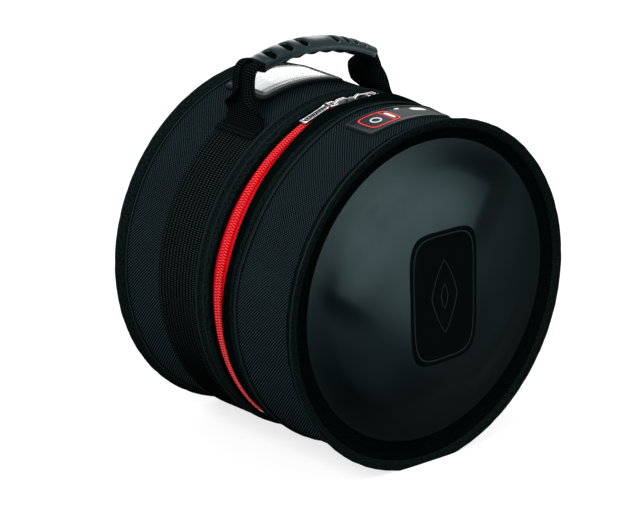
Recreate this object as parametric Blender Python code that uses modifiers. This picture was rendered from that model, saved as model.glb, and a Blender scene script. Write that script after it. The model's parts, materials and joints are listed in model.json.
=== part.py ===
"""Tom drum bag: a padded round case that lies on its side, with a zipped lid.

The case is a short drum whose axis runs along Y. The lid is at -Y, the base at +Y
and the carrying handle on top. Lengths are in metres and angles in degrees, +Z is
up, and the origin is on the ground under the middle of the bag.

Words used below: a place along Y is often given as a depth inwards from the rim of
the base or the lid, or as an inset from the edge of the mouth that the zip closes.
The angle round the case starts at the top and grows towards +X.
"""

import math

import bmesh
import bpy
from mathutils import Matrix, Vector

# Driving sizes of the case
SHELL_RADIUS = 0.1495
LID_DEPTH = 0.0937
BASE_DEPTH = 0.1221
ZIP_CHANNEL = 0.0196
RIM_FLAT = 0.0030

# Layers of the wall, from the outside in
FIT_GAP = 0.0003
NYLON_THICKNESS = 0.0012
FOAM_THICKNESS = 0.0075
LINING_THICKNESS = 0.0012
END_FOAM_THICKNESS = 0.0090

# Bound rims at the two ends
RIM_TAPE_WIDTH = 0.0170
RIM_TAPE_THICKNESS = 0.0014
RIM_FLARE = 0.0038
RIM_FLARE_LENGTH = 0.0125
RIM_ROUND = 0.0012
BEAD_WIDTH = 0.0085
BEAD_DEPTH = 0.0077
PANEL_RECESS = 0.0052
PANEL_THICKNESS = 0.0010
END_RING_WIDTH = 0.0125

# Bound edges of the mouth
EDGE_BINDING_WIDTH = 0.0175
EDGE_BINDING_THICKNESS = 0.0012
EDGE_INNER_LEG = 0.0070
EDGE_ROUND = 0.0006

# Zip
ZIP_END_ANGLE = 138.0
ZIP_TAPE_THICKNESS = 0.0008
ZIP_TAPE_TUCK = 0.0060
COIL_WIDTH = 0.0029
COIL_HEIGHT = 0.0019
COIL_GAP = 0.0014
STOP_LENGTH = 0.0036
STOP_HEIGHT = 0.0020
STOP_LIFT = 0.0005
HINGE_PANEL_THICKNESS = 0.0012
HINGE_PANEL_LIFT = 0.0007

# Sliders and pulls
SLIDER_LENGTH = 0.0180
SLIDER_WIDTH = 0.0104
SLIDER_PLATE = 0.0012
SLIDER_PLAY = 0.0006
SLIDER_UNDER_PLAY = 0.0009
SLIDER_POST = 0.0008
BAIL_LENGTH = 0.0165
BAIL_WIDTH = 0.0030
BAIL_BAR = 0.0011
BAIL_HOLE = 0.0021
LEFT_SLIDER_ANGLE = -3.9
RIGHT_SLIDER_ANGLE = 4.9
LINK_PLACE = 0.0060
LINK_LENGTH = 0.0083
LINK_HALF_WIDTH = 0.0044
LINK_WIRE = 0.0007
LINK_CORNER = 0.0016
TAB_LENGTH = 0.0300
TAB_WIDTH = 0.0080
TAB_THICKNESS = 0.0016
TAB_BORDER = 0.0015
TAB_CORNER = 0.0014
TAB_BARREL = 0.0016
TAB_BORE = 0.0010
TAB_DROOP = 14.0

# Webbing strap round the base, and the handle
WEBBING_WIDTH = 0.0470
WEBBING_THICKNESS = 0.0015
STRAP_PLACE = 0.0426
EAR_THICKNESS = 0.0020
EAR_TOP_WIDTH = 0.0270
EAR_TOP = 0.0040
LEG_SPREAD = 0.0725
LEG_WIDTH = 0.0260
LEG_THICKNESS = 0.0050
LEG_FOOT_ANGLE = 80.0
PIVOT_RISE = 0.0149
GRIP_RISE = 0.0410
GRIP_SHIFT = 0.0050
GRIP_BEND_RADIUS = 0.1650
GRIP_LENGTH = 0.1320
GRIP_WIDTH = 0.0250
GRIP_THICKNESS = 0.0125
GRIP_END_WIDTH = 0.0220
GRIP_END_THICKNESS = 0.0092
GRIP_LEAN = 6.0
CORE_WIDTH = 0.0180
CORE_THICKNESS = 0.0036

# Name card holder on the base
HOLDER_CLEARANCE = 0.0009
HOLDER_WIDTH = 0.0553
HOLDER_HALF_ANGLE = 17.5
HOLDER_BACK = 0.0008
HOLDER_SLOT = 0.0008
HOLDER_FRONT = 0.0014
HOLDER_END = 1.2
WINDOW_MARGIN = 0.0100
WINDOW_BACK_MARGIN = 0.0035
WINDOW_END = 4.0
WINDOW_THICKNESS = 0.0005
CARD_INSET = 0.0180
CARD_WIDTH = 0.0330
CARD_THICKNESS = 0.0004
CARD_HALF_ANGLE = 15.6

# Badge on the lid wall and emblem on the lid end
BADGE_DEPTH = 0.0275
BADGE_WIDTH = 0.0370
BADGE_THICKNESS = 0.0018
BADGE_START_ANGLE = -15.5
BADGE_END_ANGLE = 20.0
EMBLEM_WIDTH = 0.0780
EMBLEM_HEIGHT = 0.1180
EMBLEM_CORNER = 0.0200
EMBLEM_THICKNESS = 0.0008
EMBLEM_SIDEWAYS = 0.0150
EMBLEM_RAISE = -0.0030

# Fineness of the round shapes
RING_STEPS = 60
FINE_ANGLE = 3.0
WIRE_SIDES = 2
CORNER_STEPS = 4
GRIP_SIDES = 12
GRIP_SQUARENESS = 0.8
SHARP_ANGLE = 35.0
OVERRUN = 0.0020
MERGE = 0.00001

# Sizes that follow from the ones above
BAG_DEPTH = LID_DEPTH + ZIP_CHANNEL + BASE_DEPTH
HALF_DEPTH = BAG_DEPTH / 2
LID_EDGE = LID_DEPTH - HALF_DEPTH
BASE_EDGE = HALF_DEPTH - BASE_DEPTH
ZIP_Y = (LID_EDGE + BASE_EDGE) / 2
NYLON_INSIDE = SHELL_RADIUS - NYLON_THICKNESS
FOAM_OUTSIDE = NYLON_INSIDE - FIT_GAP
FOAM_INSIDE = FOAM_OUTSIDE - FOAM_THICKNESS
LINING_OUTSIDE = FOAM_INSIDE - FIT_GAP
LINING_INSIDE = LINING_OUTSIDE - LINING_THICKNESS
ON_SHELL = SHELL_RADIUS + FIT_GAP
RIM_RADIUS = ON_SHELL + RIM_TAPE_THICKNESS + RIM_FLARE
BEAD_INSIDE = RIM_RADIUS - BEAD_WIDTH
VINYL_RADIUS = BEAD_INSIDE - FIT_GAP - END_RING_WIDTH
AXIS_HEIGHT = RIM_RADIUS - RIM_FLAT
FOAM_FACE = PANEL_RECESS + PANEL_THICKNESS + FIT_GAP
FOAM_SHOULDER = BEAD_DEPTH + FIT_GAP
FOAM_BACK = FOAM_FACE + END_FOAM_THICKNESS
WALL_END = FOAM_BACK + FIT_GAP
EDGE_LEG_OUTSIDE = NYLON_INSIDE - FIT_GAP
EDGE_LEG_INSIDE = EDGE_LEG_OUTSIDE - EDGE_BINDING_THICKNESS
ZIP_TAPE_OUTSIDE = EDGE_LEG_INSIDE - FIT_GAP
ZIP_TAPE_INSIDE = ZIP_TAPE_OUTSIDE - ZIP_TAPE_THICKNESS
COIL_FOOT = ZIP_TAPE_OUTSIDE + FIT_GAP
COIL_TOP = COIL_FOOT + COIL_HEIGHT
SLIDER_TOP = COIL_TOP + SLIDER_PLAY + SLIDER_PLATE
BAIL_AXIS = SLIDER_TOP + BAIL_HOLE / 2
STRAP_Y = BASE_EDGE + STRAP_PLACE
STRAP_OUTSIDE = ON_SHELL + WEBBING_THICKNESS
PIVOT_HEIGHT = math.sqrt(ON_SHELL**2 - LEG_SPREAD**2) + PIVOT_RISE
GRIP_HEIGHT = PIVOT_HEIGHT + GRIP_RISE
HOLDER_Y = HALF_DEPTH - RIM_TAPE_WIDTH - HOLDER_CLEARANCE - HOLDER_WIDTH
CARD_Y = HOLDER_Y + CARD_INSET

SMALL = 1.0e-9


def material(name, colour, roughness, metallic=0.0):
    """Return a plain Principled material."""
    made = bpy.data.materials.new(name)
    made.use_nodes = True
    shader = made.node_tree.nodes["Principled BSDF"]
    shader.inputs["Base Color"].default_value = (*colour, 1.0)
    shader.inputs["Roughness"].default_value = roughness
    shader.inputs["Metallic"].default_value = metallic
    made.diffuse_color = (*colour, 1.0)
    return made


def add_object(name, data, group, finish=None):
    """Put mesh or curve data into a collection as one object."""
    made = bpy.data.objects.new(name, data)
    group.objects.link(made)
    if finish is not None:
        data.materials.append(finish)
    return made


def add_empty(name, group, place, turn=0.0):
    """Add a pivot: an empty at a place, turned about Y."""
    made = bpy.data.objects.new(name, None)
    made.location = place
    made.rotation_euler = (0.0, math.radians(turn), 0.0)
    made.empty_display_size = LINK_LENGTH
    group.objects.link(made)
    return made


def hang_on(child, pivot):
    """Parent a piece to a pivot that is not turned, and leave the piece where it is."""
    child.parent = pivot
    child.matrix_parent_inverse = Matrix.Translation(-pivot.location)


def mesh_from(build):
    """Return a mesh from a bmesh, with its faces turned outwards."""
    bmesh.ops.recalc_face_normals(build, faces=build.faces)
    data = bpy.data.meshes.new("shape")
    build.to_mesh(data)
    build.free()
    return data


def smooth(data):
    """Shade a mesh smooth, and keep its folds sharp."""
    data.shade_smooth()
    data.set_sharp_from_angle(angle=math.radians(SHARP_ANGLE))


def along_axis(piece):
    """Stand a shape that was turned about its own Z on the axis of the case."""
    piece.location = (0.0, 0.0, AXIS_HEIGHT)
    piece.rotation_euler = (math.radians(-90.0), 0.0, 0.0)


def area_of(profile):
    """Return the signed area of a closed outline."""
    total = 0.0
    for (r_a, y_a), (r_b, y_b) in zip(profile, profile[1:] + profile[:1]):
        total += r_a * y_b - r_b * y_a
    return total / 2


def ring(name, profile, group, finish):
    """Turn a profile of (radius, y) points about the axis of the case.

    A profile whose first and last points lie on the axis makes a disc or a cup, and
    any other one is closed into a ring.
    """
    points = list(profile)
    if area_of(points) > 0:
        points.reverse()
    count = len(points)
    closed = points[0][0] > SMALL or points[-1][0] > SMALL
    edges = [(step, step + 1) for step in range(count - 1)]
    if closed:
        edges.append((count - 1, 0))
    data = bpy.data.meshes.new(name)
    data.from_pydata([(radius, 0.0, y) for radius, y in points], edges, [])
    piece = add_object(name, data, group, finish)
    along_axis(piece)
    screw = piece.modifiers.new("turn", "SCREW")
    screw.axis = "Z"
    screw.steps = RING_STEPS
    screw.render_steps = RING_STEPS
    screw.use_merge_vertices = True
    screw.merge_threshold = MERGE
    screw.use_smooth_shade = True
    return piece


def arc(name, profile, start, end, step, group, finish):
    """Carry a closed profile of (radius, y) points round the case, between two angles."""
    steps = max(1, round((end - start) / step))
    build = bmesh.new()
    corners = []
    for radius, y in profile:
        corners.append(build.verts.new((0.0, y, radius)))
    build.faces.new(corners)
    turn = Matrix.Rotation(math.radians(start), 3, "Y")
    bmesh.ops.rotate(build, verts=build.verts, cent=(0.0, 0.0, 0.0), matrix=turn)
    bmesh.ops.spin(
        build,
        geom=build.verts[:] + build.edges[:] + build.faces[:],
        axis=(0.0, 1.0, 0.0),
        cent=(0.0, 0.0, 0.0),
        angle=math.radians(end - start),
        steps=steps,
    )
    data = mesh_from(build)
    smooth(data)
    piece = add_object(name, data, group, finish)
    piece.location = (0.0, 0.0, AXIS_HEIGHT)
    return piece


def box(name, low, high, group, finish=None):
    """Return a box between two corners."""
    build = bmesh.new()
    bmesh.ops.create_cube(build, size=1.0)
    size = Vector(high) - Vector(low)
    middle = (Vector(high) + Vector(low)) / 2
    bmesh.ops.scale(build, vec=size, verts=build.verts)
    bmesh.ops.translate(build, vec=middle, verts=build.verts)
    return add_object(name, mesh_from(build), group, finish)


def rod(name, radius, length, group, finish=None, sides=16):
    """Return a round rod along Y, about its own middle."""
    build = bmesh.new()
    bmesh.ops.create_cone(
        build, cap_ends=True, segments=sides, radius1=radius, radius2=radius, depth=length
    )
    turn = Matrix.Rotation(math.radians(90.0), 3, "X")
    bmesh.ops.rotate(build, verts=build.verts, cent=(0.0, 0.0, 0.0), matrix=turn)
    return add_object(name, mesh_from(build), group, finish)


def rounded_outline(width, height, corner):
    """Return the points of a rounded rectangle about the origin."""
    points = []
    across = width / 2 - corner
    up = height / 2 - corner
    for quarter, (side_x, side_y) in enumerate([(1, 1), (-1, 1), (-1, -1), (1, -1)]):
        for step in range(CORNER_STEPS + 1):
            angle = math.radians(90.0) * (quarter + step / CORNER_STEPS)
            x = side_x * across + corner * math.cos(angle)
            y = side_y * up + corner * math.sin(angle)
            points.append((x, y))
    return points


def plate(name, outlines, thickness, group, finish=None):
    """Extrude flat outlines to a plate about the XY plane; outlines inside are holes."""
    flat = bpy.data.curves.new(name, "CURVE")
    flat.dimensions = "2D"
    flat.fill_mode = "BOTH"
    flat.extrude = thickness / 2
    for outline in outlines:
        line = flat.splines.new("POLY")
        line.points.add(len(outline) - 1)
        line.use_cyclic_u = True
        for point, (x, y) in zip(line.points, outline):
            point.co = (x, y, 0.0, 1.0)
    drawn = add_object(name + "_flat", flat, group)
    bpy.context.view_layer.update()
    seen = drawn.evaluated_get(bpy.context.evaluated_depsgraph_get())
    data = bpy.data.meshes.new_from_object(seen)
    bpy.data.objects.remove(drawn)
    build = bmesh.new()
    build.from_mesh(data)
    bmesh.ops.remove_doubles(build, verts=build.verts, dist=MERGE)
    return add_object(name, mesh_from(build), group, finish)


def loft(name, sections, group, finish=None):
    """Join sections of equally many points into one closed solid with flat ends."""
    build = bmesh.new()
    rows = [[build.verts.new(point) for point in section] for section in sections]
    count = len(rows[0])
    for row, after in zip(rows, rows[1:]):
        for place in range(count):
            other = (place + 1) % count
            build.faces.new((row[place], row[other], after[other], after[place]))
    build.faces.new(rows[0])
    build.faces.new(rows[-1])
    return add_object(name, mesh_from(build), group, finish)


def cut(piece, cutter, way="DIFFERENCE"):
    """Cut a piece with another one, or join or cross the two."""
    change = piece.modifiers.new("cut", "BOOLEAN")
    change.operation = way
    change.solver = "EXACT"
    change.object = cutter
    cutter.hide_render = True
    cutter.display_type = "WIRE"


def at_depth(side, depth):
    """Return the y of a depth inwards from the rim: side 1 is the base, -1 the lid."""
    return side * (HALF_DEPTH - depth)


def from_edge(side, inset):
    """Return the y of an inset from the edge of the mouth."""
    edge = BASE_EDGE if side > 0 else LID_EDGE
    return edge + side * inset


def nylon_wall(name, side, group, finish):
    """The nylon tube that covers the wall, from the rim to the bound edge."""
    start = at_depth(side, FOAM_SHOULDER)
    end = from_edge(side, EDGE_BINDING_THICKNESS + FIT_GAP)
    profile = [
        (NYLON_INSIDE, start),
        (SHELL_RADIUS, start),
        (SHELL_RADIUS, end),
        (NYLON_INSIDE, end),
    ]
    return ring(name, profile, group, finish)


def foam_wall(name, side, group, finish):
    """The foam tube inside the wall, thinned where the zip tape is sewn on."""
    rebate = EDGE_INNER_LEG + FIT_GAP
    under_tape = ZIP_TAPE_INSIDE - FIT_GAP
    profile = [
        (FOAM_INSIDE, from_edge(side, 0.0)),
        (under_tape, from_edge(side, 0.0)),
        (under_tape, from_edge(side, rebate)),
        (FOAM_OUTSIDE, from_edge(side, rebate)),
        (FOAM_OUTSIDE, at_depth(side, WALL_END)),
        (FOAM_INSIDE, at_depth(side, WALL_END)),
    ]
    return ring(name, profile, group, finish)


def foam_end(name, side, group, finish):
    """The foam disc behind the end panel, with a shoulder under the bead of the rim."""
    inner = BEAD_INSIDE - 2 * FIT_GAP
    profile = [
        (0.0, at_depth(side, FOAM_FACE)),
        (inner, at_depth(side, FOAM_FACE)),
        (inner, at_depth(side, FOAM_SHOULDER)),
        (FOAM_OUTSIDE, at_depth(side, FOAM_SHOULDER)),
        (FOAM_OUTSIDE, at_depth(side, FOAM_BACK)),
        (0.0, at_depth(side, FOAM_BACK)),
    ]
    return ring(name, profile, group, finish)


def lining(name, side, group, finish):
    """The smooth lining: a cup against the inside of the foam."""
    floor = WALL_END + LINING_THICKNESS
    profile = [
        (0.0, at_depth(side, WALL_END)),
        (LINING_OUTSIDE, at_depth(side, WALL_END)),
        (LINING_OUTSIDE, from_edge(side, 0.0)),
        (LINING_INSIDE, from_edge(side, 0.0)),
        (LINING_INSIDE, at_depth(side, floor)),
        (0.0, at_depth(side, floor)),
    ]
    return ring(name, profile, group, finish)


def rim_binding(name, side, group, finish, ground):
    """The bound rim: a tape on the wall that flares to a stiff bead at the end."""
    tape_top = ON_SHELL + RIM_TAPE_THICKNESS
    profile = [
        (ON_SHELL, at_depth(side, RIM_TAPE_WIDTH)),
        (tape_top, at_depth(side, RIM_TAPE_WIDTH)),
        (tape_top + RIM_ROUND / 2, at_depth(side, RIM_FLARE_LENGTH)),
        (RIM_RADIUS - RIM_ROUND / 3, at_depth(side, 2 * RIM_ROUND)),
        (RIM_RADIUS, at_depth(side, RIM_ROUND)),
        (RIM_RADIUS - RIM_ROUND, at_depth(side, 0.0)),
        (BEAD_INSIDE + 2 * RIM_ROUND, at_depth(side, 0.0)),
        (BEAD_INSIDE, at_depth(side, 2 * RIM_ROUND)),
        (BEAD_INSIDE, at_depth(side, BEAD_DEPTH)),
        (ON_SHELL, at_depth(side, BEAD_DEPTH)),
    ]
    piece = ring(name, profile, group, finish)
    cut(piece, ground)
    return piece


def edge_binding(name, side, group, finish):
    """The binding folded round the edge of the mouth, outside and inside."""
    outside = ON_SHELL + EDGE_BINDING_THICKNESS
    profile = [
        (EDGE_LEG_INSIDE, from_edge(side, 0.0)),
        (outside - EDGE_ROUND, from_edge(side, 0.0)),
        (outside, from_edge(side, EDGE_ROUND)),
        (outside, from_edge(side, EDGE_BINDING_WIDTH)),
        (ON_SHELL, from_edge(side, EDGE_BINDING_WIDTH)),
        (ON_SHELL, from_edge(side, EDGE_BINDING_THICKNESS)),
        (EDGE_LEG_OUTSIDE, from_edge(side, EDGE_BINDING_THICKNESS)),
        (EDGE_LEG_OUTSIDE, from_edge(side, EDGE_INNER_LEG)),
        (EDGE_LEG_INSIDE, from_edge(side, EDGE_INNER_LEG)),
    ]
    return ring(name, profile, group, finish)


def disc(name, side, inner, outer, depth, thickness, group, finish):
    """A flat disc, or a flat ring if its inner radius is not zero, at a depth."""
    front = at_depth(side, depth)
    back = at_depth(side, depth + thickness)
    return ring(name, [(inner, front), (outer, front), (outer, back), (inner, back)], group, finish)


def zip_tape(name, side, group, finish):
    """Half of the zip's tape, from the middle of the zip to under the bound edge."""
    inner = ZIP_Y + side * COIL_GAP / 2
    outer = from_edge(side, ZIP_TAPE_TUCK)
    profile = [
        (ZIP_TAPE_INSIDE, inner),
        (ZIP_TAPE_OUTSIDE, inner),
        (ZIP_TAPE_OUTSIDE, outer),
        (ZIP_TAPE_INSIDE, outer),
    ]
    reach = ZIP_END_ANGLE - gap_angle(ZIP_TAPE_OUTSIDE)
    return arc(name, profile, -reach, reach, 360 / RING_STEPS, group, finish)


def zip_coil(name, side, group, finish):
    """Half of the zip's coil, rounded on top, on the edge of its tape."""
    near = ZIP_Y + side * COIL_GAP / 2
    far = near + side * COIL_WIDTH
    shoulder = COIL_TOP - COIL_HEIGHT / 3
    quarter = side * COIL_WIDTH / 4
    profile = [
        (COIL_FOOT, near),
        (COIL_TOP, near + quarter),
        (COIL_TOP, far - quarter),
        (shoulder, far),
        (COIL_FOOT, far),
    ]
    reach = ZIP_END_ANGLE - math.degrees((STOP_LENGTH + FIT_GAP) / COIL_FOOT)
    return arc(name, profile, -reach, reach, 360 / RING_STEPS, group, finish)


def gap_angle(radius):
    """Return the angle that half of a fit gap takes at a radius."""
    return math.degrees(FIT_GAP / 2 / radius)


def zip_stop(name, hand, group, finish):
    """The metal stop at one end of the zip: hand 1 is the +X end."""
    foot = ZIP_TAPE_OUTSIDE + STOP_LIFT
    half_width = COIL_GAP / 2 + COIL_WIDTH
    profile = [
        (foot, ZIP_Y - half_width),
        (foot + STOP_HEIGHT, ZIP_Y - half_width),
        (foot + STOP_HEIGHT, ZIP_Y + half_width),
        (foot, ZIP_Y + half_width),
    ]
    end = hand * (ZIP_END_ANGLE - gap_angle(foot))
    start = end - hand * math.degrees(STOP_LENGTH / COIL_FOOT)
    return arc(name, profile, min(start, end), max(start, end), FINE_ANGLE, group, finish)


def hinge_panel(name, group, finish):
    """The strip of cloth under the bag that holds the lid to the base."""
    low = ZIP_TAPE_OUTSIDE + HINGE_PANEL_LIFT
    high = low + HINGE_PANEL_THICKNESS
    profile = [
        (low, LID_EDGE + FIT_GAP),
        (high, LID_EDGE + FIT_GAP),
        (high, BASE_EDGE - FIT_GAP),
        (low, BASE_EDGE - FIT_GAP),
    ]
    start = ZIP_END_ANGLE + gap_angle(low)
    return arc(name, profile, start, 360 - start, 360 / RING_STEPS, group, finish)


def strap_band(group, finish):
    """The webbing round the base, from one foot of the handle under the bag to the other."""
    ear_outside = LEG_SPREAD + LEG_THICKNESS / 2 + FIT_GAP + EAR_THICKNESS
    start = math.degrees(math.asin((ear_outside + FIT_GAP) / STRAP_OUTSIDE))
    half = WEBBING_WIDTH / 2
    profile = [
        (ON_SHELL, STRAP_Y - half),
        (STRAP_OUTSIDE, STRAP_Y - half),
        (STRAP_OUTSIDE, STRAP_Y + half),
        (ON_SHELL, STRAP_Y + half),
    ]
    return arc("strap_band", profile, start, 360 - start, 360 / RING_STEPS, group, finish)


def handle_ear(name, hand, group, finish):
    """The sewn foot of the handle: webbing that stands up from the shell beside the leg."""
    inside = LEG_SPREAD + LEG_THICKNESS / 2 + FIT_GAP
    outside = inside + EAR_THICKNESS
    foot = math.sqrt(ON_SHELL**2 - inside**2)
    top = PIVOT_HEIGHT + EAR_TOP
    half_foot = WEBBING_WIDTH / 2
    half_top = EAR_TOP_WIDTH / 2
    waist = foot + (top - foot) / 4
    outline = [
        (foot, -half_foot),
        (waist, -half_foot),
        (top, -half_top),
        (top, half_top),
        (waist, half_foot),
        (foot, half_foot),
    ]
    sections = []
    for x in (inside, outside):
        sections.append([(hand * x, STRAP_Y + y, AXIS_HEIGHT + z) for z, y in outline])
    return loft(name, sections, group, finish)


def grip_station(angle):
    """Return the place and the upward direction of the grip's middle line at an angle."""
    lean = math.radians(GRIP_LEAN)
    turned = angle + lean
    across = GRIP_BEND_RADIUS * math.sin(turned)
    down = GRIP_BEND_RADIUS * math.cos(turned)
    middle = Vector((math.sin(lean), 0.0, math.cos(lean))) * GRIP_BEND_RADIUS
    place = Vector((GRIP_SHIFT, STRAP_Y, AXIS_HEIGHT + GRIP_HEIGHT)) - middle
    place += Vector((across, 0.0, down))
    return place, Vector((math.sin(turned), 0.0, math.cos(turned)))


def leg_stations(hand):
    """Return the middle line of one leg, from the end of the grip to below the pivot.

    The leg leaves the grip along its end, turns down in one round bend and then runs
    straight down through the pivot.
    """
    end, up = grip_station(hand * GRIP_LENGTH / 2 / GRIP_BEND_RADIUS)
    along = Vector((hand * up.z, 0.0, -hand * up.x))
    room = hand * LEG_SPREAD - end.x
    length = room / along.x
    turn = math.pi / 2 - math.asin(-along.z)
    radius = length / math.tan(turn / 2)
    centre = end - up * radius
    stations = []
    for step in range(1, CORNER_STEPS + 1):
        angle = hand * turn * step / CORNER_STEPS
        tip = Matrix.Rotation(angle, 3, "Y") @ up
        stations.append((centre + tip * radius, tip))
    out = Vector((hand * 1.0, 0.0, 0.0))
    x = hand * LEG_SPREAD
    for height, _ in leg_foot():
        stations.append((Vector((x, STRAP_Y, AXIS_HEIGHT + PIVOT_HEIGHT + height)), out))
    return stations


def leg_foot():
    """Return (height above the pivot, half width) down the round foot of a leg."""
    radius = LEG_WIDTH / 2
    rows = []
    for step in range(CORNER_STEPS + 1):
        angle = math.radians(LEG_FOOT_ANGLE) * step / CORNER_STEPS
        rows.append((-radius * math.sin(angle), radius * math.cos(angle)))
    return rows


def strap_section(place, up, width, thickness):
    """Return the four corners of the strap where its outside points up."""
    side = Vector((0.0, width / 2, 0.0))
    rise = up * (thickness / 2)
    return [place - side - rise, place + side - rise, place + side + rise, place - side + rise]


def strap_sections(extra):
    """Return the sections of the handle strap, from the left foot to the right one."""
    halves = []
    for hand in (-1, 1):
        rows = []
        stations = leg_stations(hand)
        bends = CORNER_STEPS
        for number, (place, up) in enumerate(stations):
            if number < bends:
                share = (number + 1) / bends
                width = CORE_WIDTH + (LEG_WIDTH - CORE_WIDTH) * share
                thickness = CORE_THICKNESS + (LEG_THICKNESS - CORE_THICKNESS) * share
            else:
                width = 2 * leg_foot()[number - bends][1]
                thickness = LEG_THICKNESS
            rows.append(strap_section(place, up, width + extra, thickness + extra))
        halves.append(rows)
    left, right = halves
    return list(reversed(left)) + core_sections(extra, 0.0) + right


def core_sections(extra, overrun):
    """Return the sections of the strap inside the grip, with an overrun at both ends."""
    rows = []
    half = (GRIP_LENGTH / 2 + overrun) / GRIP_BEND_RADIUS
    count = 2 * CORNER_STEPS
    for step in range(count + 1):
        angle = half * (2 * step / count - 1)
        place, up = grip_station(angle)
        rows.append(strap_section(place, up, CORE_WIDTH + extra, CORE_THICKNESS + extra))
    return rows


def squared(share):
    """Return a sine or cosine pushed outwards, which squares an oval a little."""
    return math.copysign(abs(share) ** GRIP_SQUARENESS, share)


def grip(group, cutters, finish):
    """The moulded grip: an oval bar bent to an arc, with a slot for the strap."""
    sections = []
    count = 4 * CORNER_STEPS
    half = GRIP_LENGTH / 2 / GRIP_BEND_RADIUS
    for step in range(count + 1):
        share = abs(2 * step / count - 1)
        swell = math.sqrt(max(0.0, 1 - share**4))
        width = GRIP_END_WIDTH + (GRIP_WIDTH - GRIP_END_WIDTH) * swell
        thickness = GRIP_END_THICKNESS + (GRIP_THICKNESS - GRIP_END_THICKNESS) * swell
        place, up = grip_station(half * (2 * step / count - 1))
        section = []
        for corner in range(GRIP_SIDES):
            angle = 2 * math.pi * corner / GRIP_SIDES
            across = squared(math.cos(angle)) * width / 2
            rise = squared(math.sin(angle)) * thickness / 2
            section.append(place + Vector((0.0, across, 0.0)) + up * rise)
        sections.append(section)
    piece = loft("grip", sections, group, finish)
    smooth(piece.data)
    slot = loft("grip_slot", core_sections(2 * FIT_GAP, OVERRUN), cutters)
    cut(piece, slot)
    return piece


def name_holder(group, cutters, finish, clear, paper):
    """The card holder: a frame with a side slot, a clear window and a card."""
    half = HOLDER_WIDTH / 2
    middle = HOLDER_Y + half
    top = ON_SHELL + HOLDER_BACK + HOLDER_SLOT + HOLDER_FRONT
    frame_profile = [
        (ON_SHELL, middle - half),
        (top - HOLDER_BACK, middle - half),
        (top, middle - half + HOLDER_BACK),
        (top, middle + half - HOLDER_BACK),
        (top - HOLDER_BACK, middle + half),
        (ON_SHELL, middle + half),
    ]
    reach = HOLDER_HALF_ANGLE
    frame = arc("id_frame", frame_profile, -reach, reach, FINE_ANGLE, group, finish)
    slot_low = ON_SHELL + HOLDER_BACK
    slot_high = slot_low + HOLDER_SLOT
    card_start = CARD_Y - FIT_GAP
    card_end = CARD_Y + CARD_WIDTH + FIT_GAP
    slot_profile = band_profile(slot_low, slot_high, card_start, card_end)
    start = HOLDER_END - reach
    slot = arc("id_slot", slot_profile, start, reach + HOLDER_END, FINE_ANGLE, cutters, None)
    cut(frame, slot)
    window_start = HOLDER_Y + WINDOW_MARGIN
    window_end = HOLDER_Y + HOLDER_WIDTH - WINDOW_BACK_MARGIN
    hole_profile = band_profile(slot_high - HOLDER_SLOT / 2, top + OVERRUN, window_start, window_end)
    opening = reach - WINDOW_END
    hole = arc("id_hole", hole_profile, -opening, opening, FINE_ANGLE, cutters, None)
    cut(frame, hole)
    sheet_low = slot_high + FIT_GAP
    sheet_profile = band_profile(
        sheet_low, sheet_low + WINDOW_THICKNESS, window_start + FIT_GAP, window_end - FIT_GAP
    )
    inside = opening - 2 * gap_angle(sheet_low)
    arc("id_window", sheet_profile, -inside, inside, FINE_ANGLE, group, clear)
    card_low = slot_low + (HOLDER_SLOT - CARD_THICKNESS) / 2
    card_profile = band_profile(card_low, card_low + CARD_THICKNESS, CARD_Y, CARD_Y + CARD_WIDTH)
    arc("id_card", card_profile, -CARD_HALF_ANGLE, CARD_HALF_ANGLE, FINE_ANGLE, group, paper)


def band_profile(low, high, start, end):
    """Return the profile of a flat band between two radii and two places along Y."""
    return [(low, start), (high, start), (high, end), (low, end)]


def badge(group, finish):
    """The rubber badge on top of the lid, with bevelled long edges."""
    start = at_depth(-1, BADGE_DEPTH)
    end = start + BADGE_WIDTH
    top = ON_SHELL + BADGE_THICKNESS
    slope = BADGE_THICKNESS / 2
    profile = [
        (ON_SHELL, start),
        (top - slope, start),
        (top, start + slope),
        (top, end - slope),
        (top - slope, end),
        (ON_SHELL, end),
    ]
    return arc("badge", profile, BADGE_START_ANGLE, BADGE_END_ANGLE, FINE_ANGLE, group, finish)


def emblem(group, finish):
    """The sewn patch on the lid's end panel."""
    outline = rounded_outline(EMBLEM_WIDTH, EMBLEM_HEIGHT, EMBLEM_CORNER)
    piece = plate("emblem", [outline], EMBLEM_THICKNESS, group, finish)
    depth = PANEL_RECESS - FIT_GAP - EMBLEM_THICKNESS / 2
    piece.rotation_euler = (math.radians(90.0), 0.0, 0.0)
    piece.location = (EMBLEM_SIDEWAYS, at_depth(-1, depth), AXIS_HEIGHT + EMBLEM_RAISE)
    return piece


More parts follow.
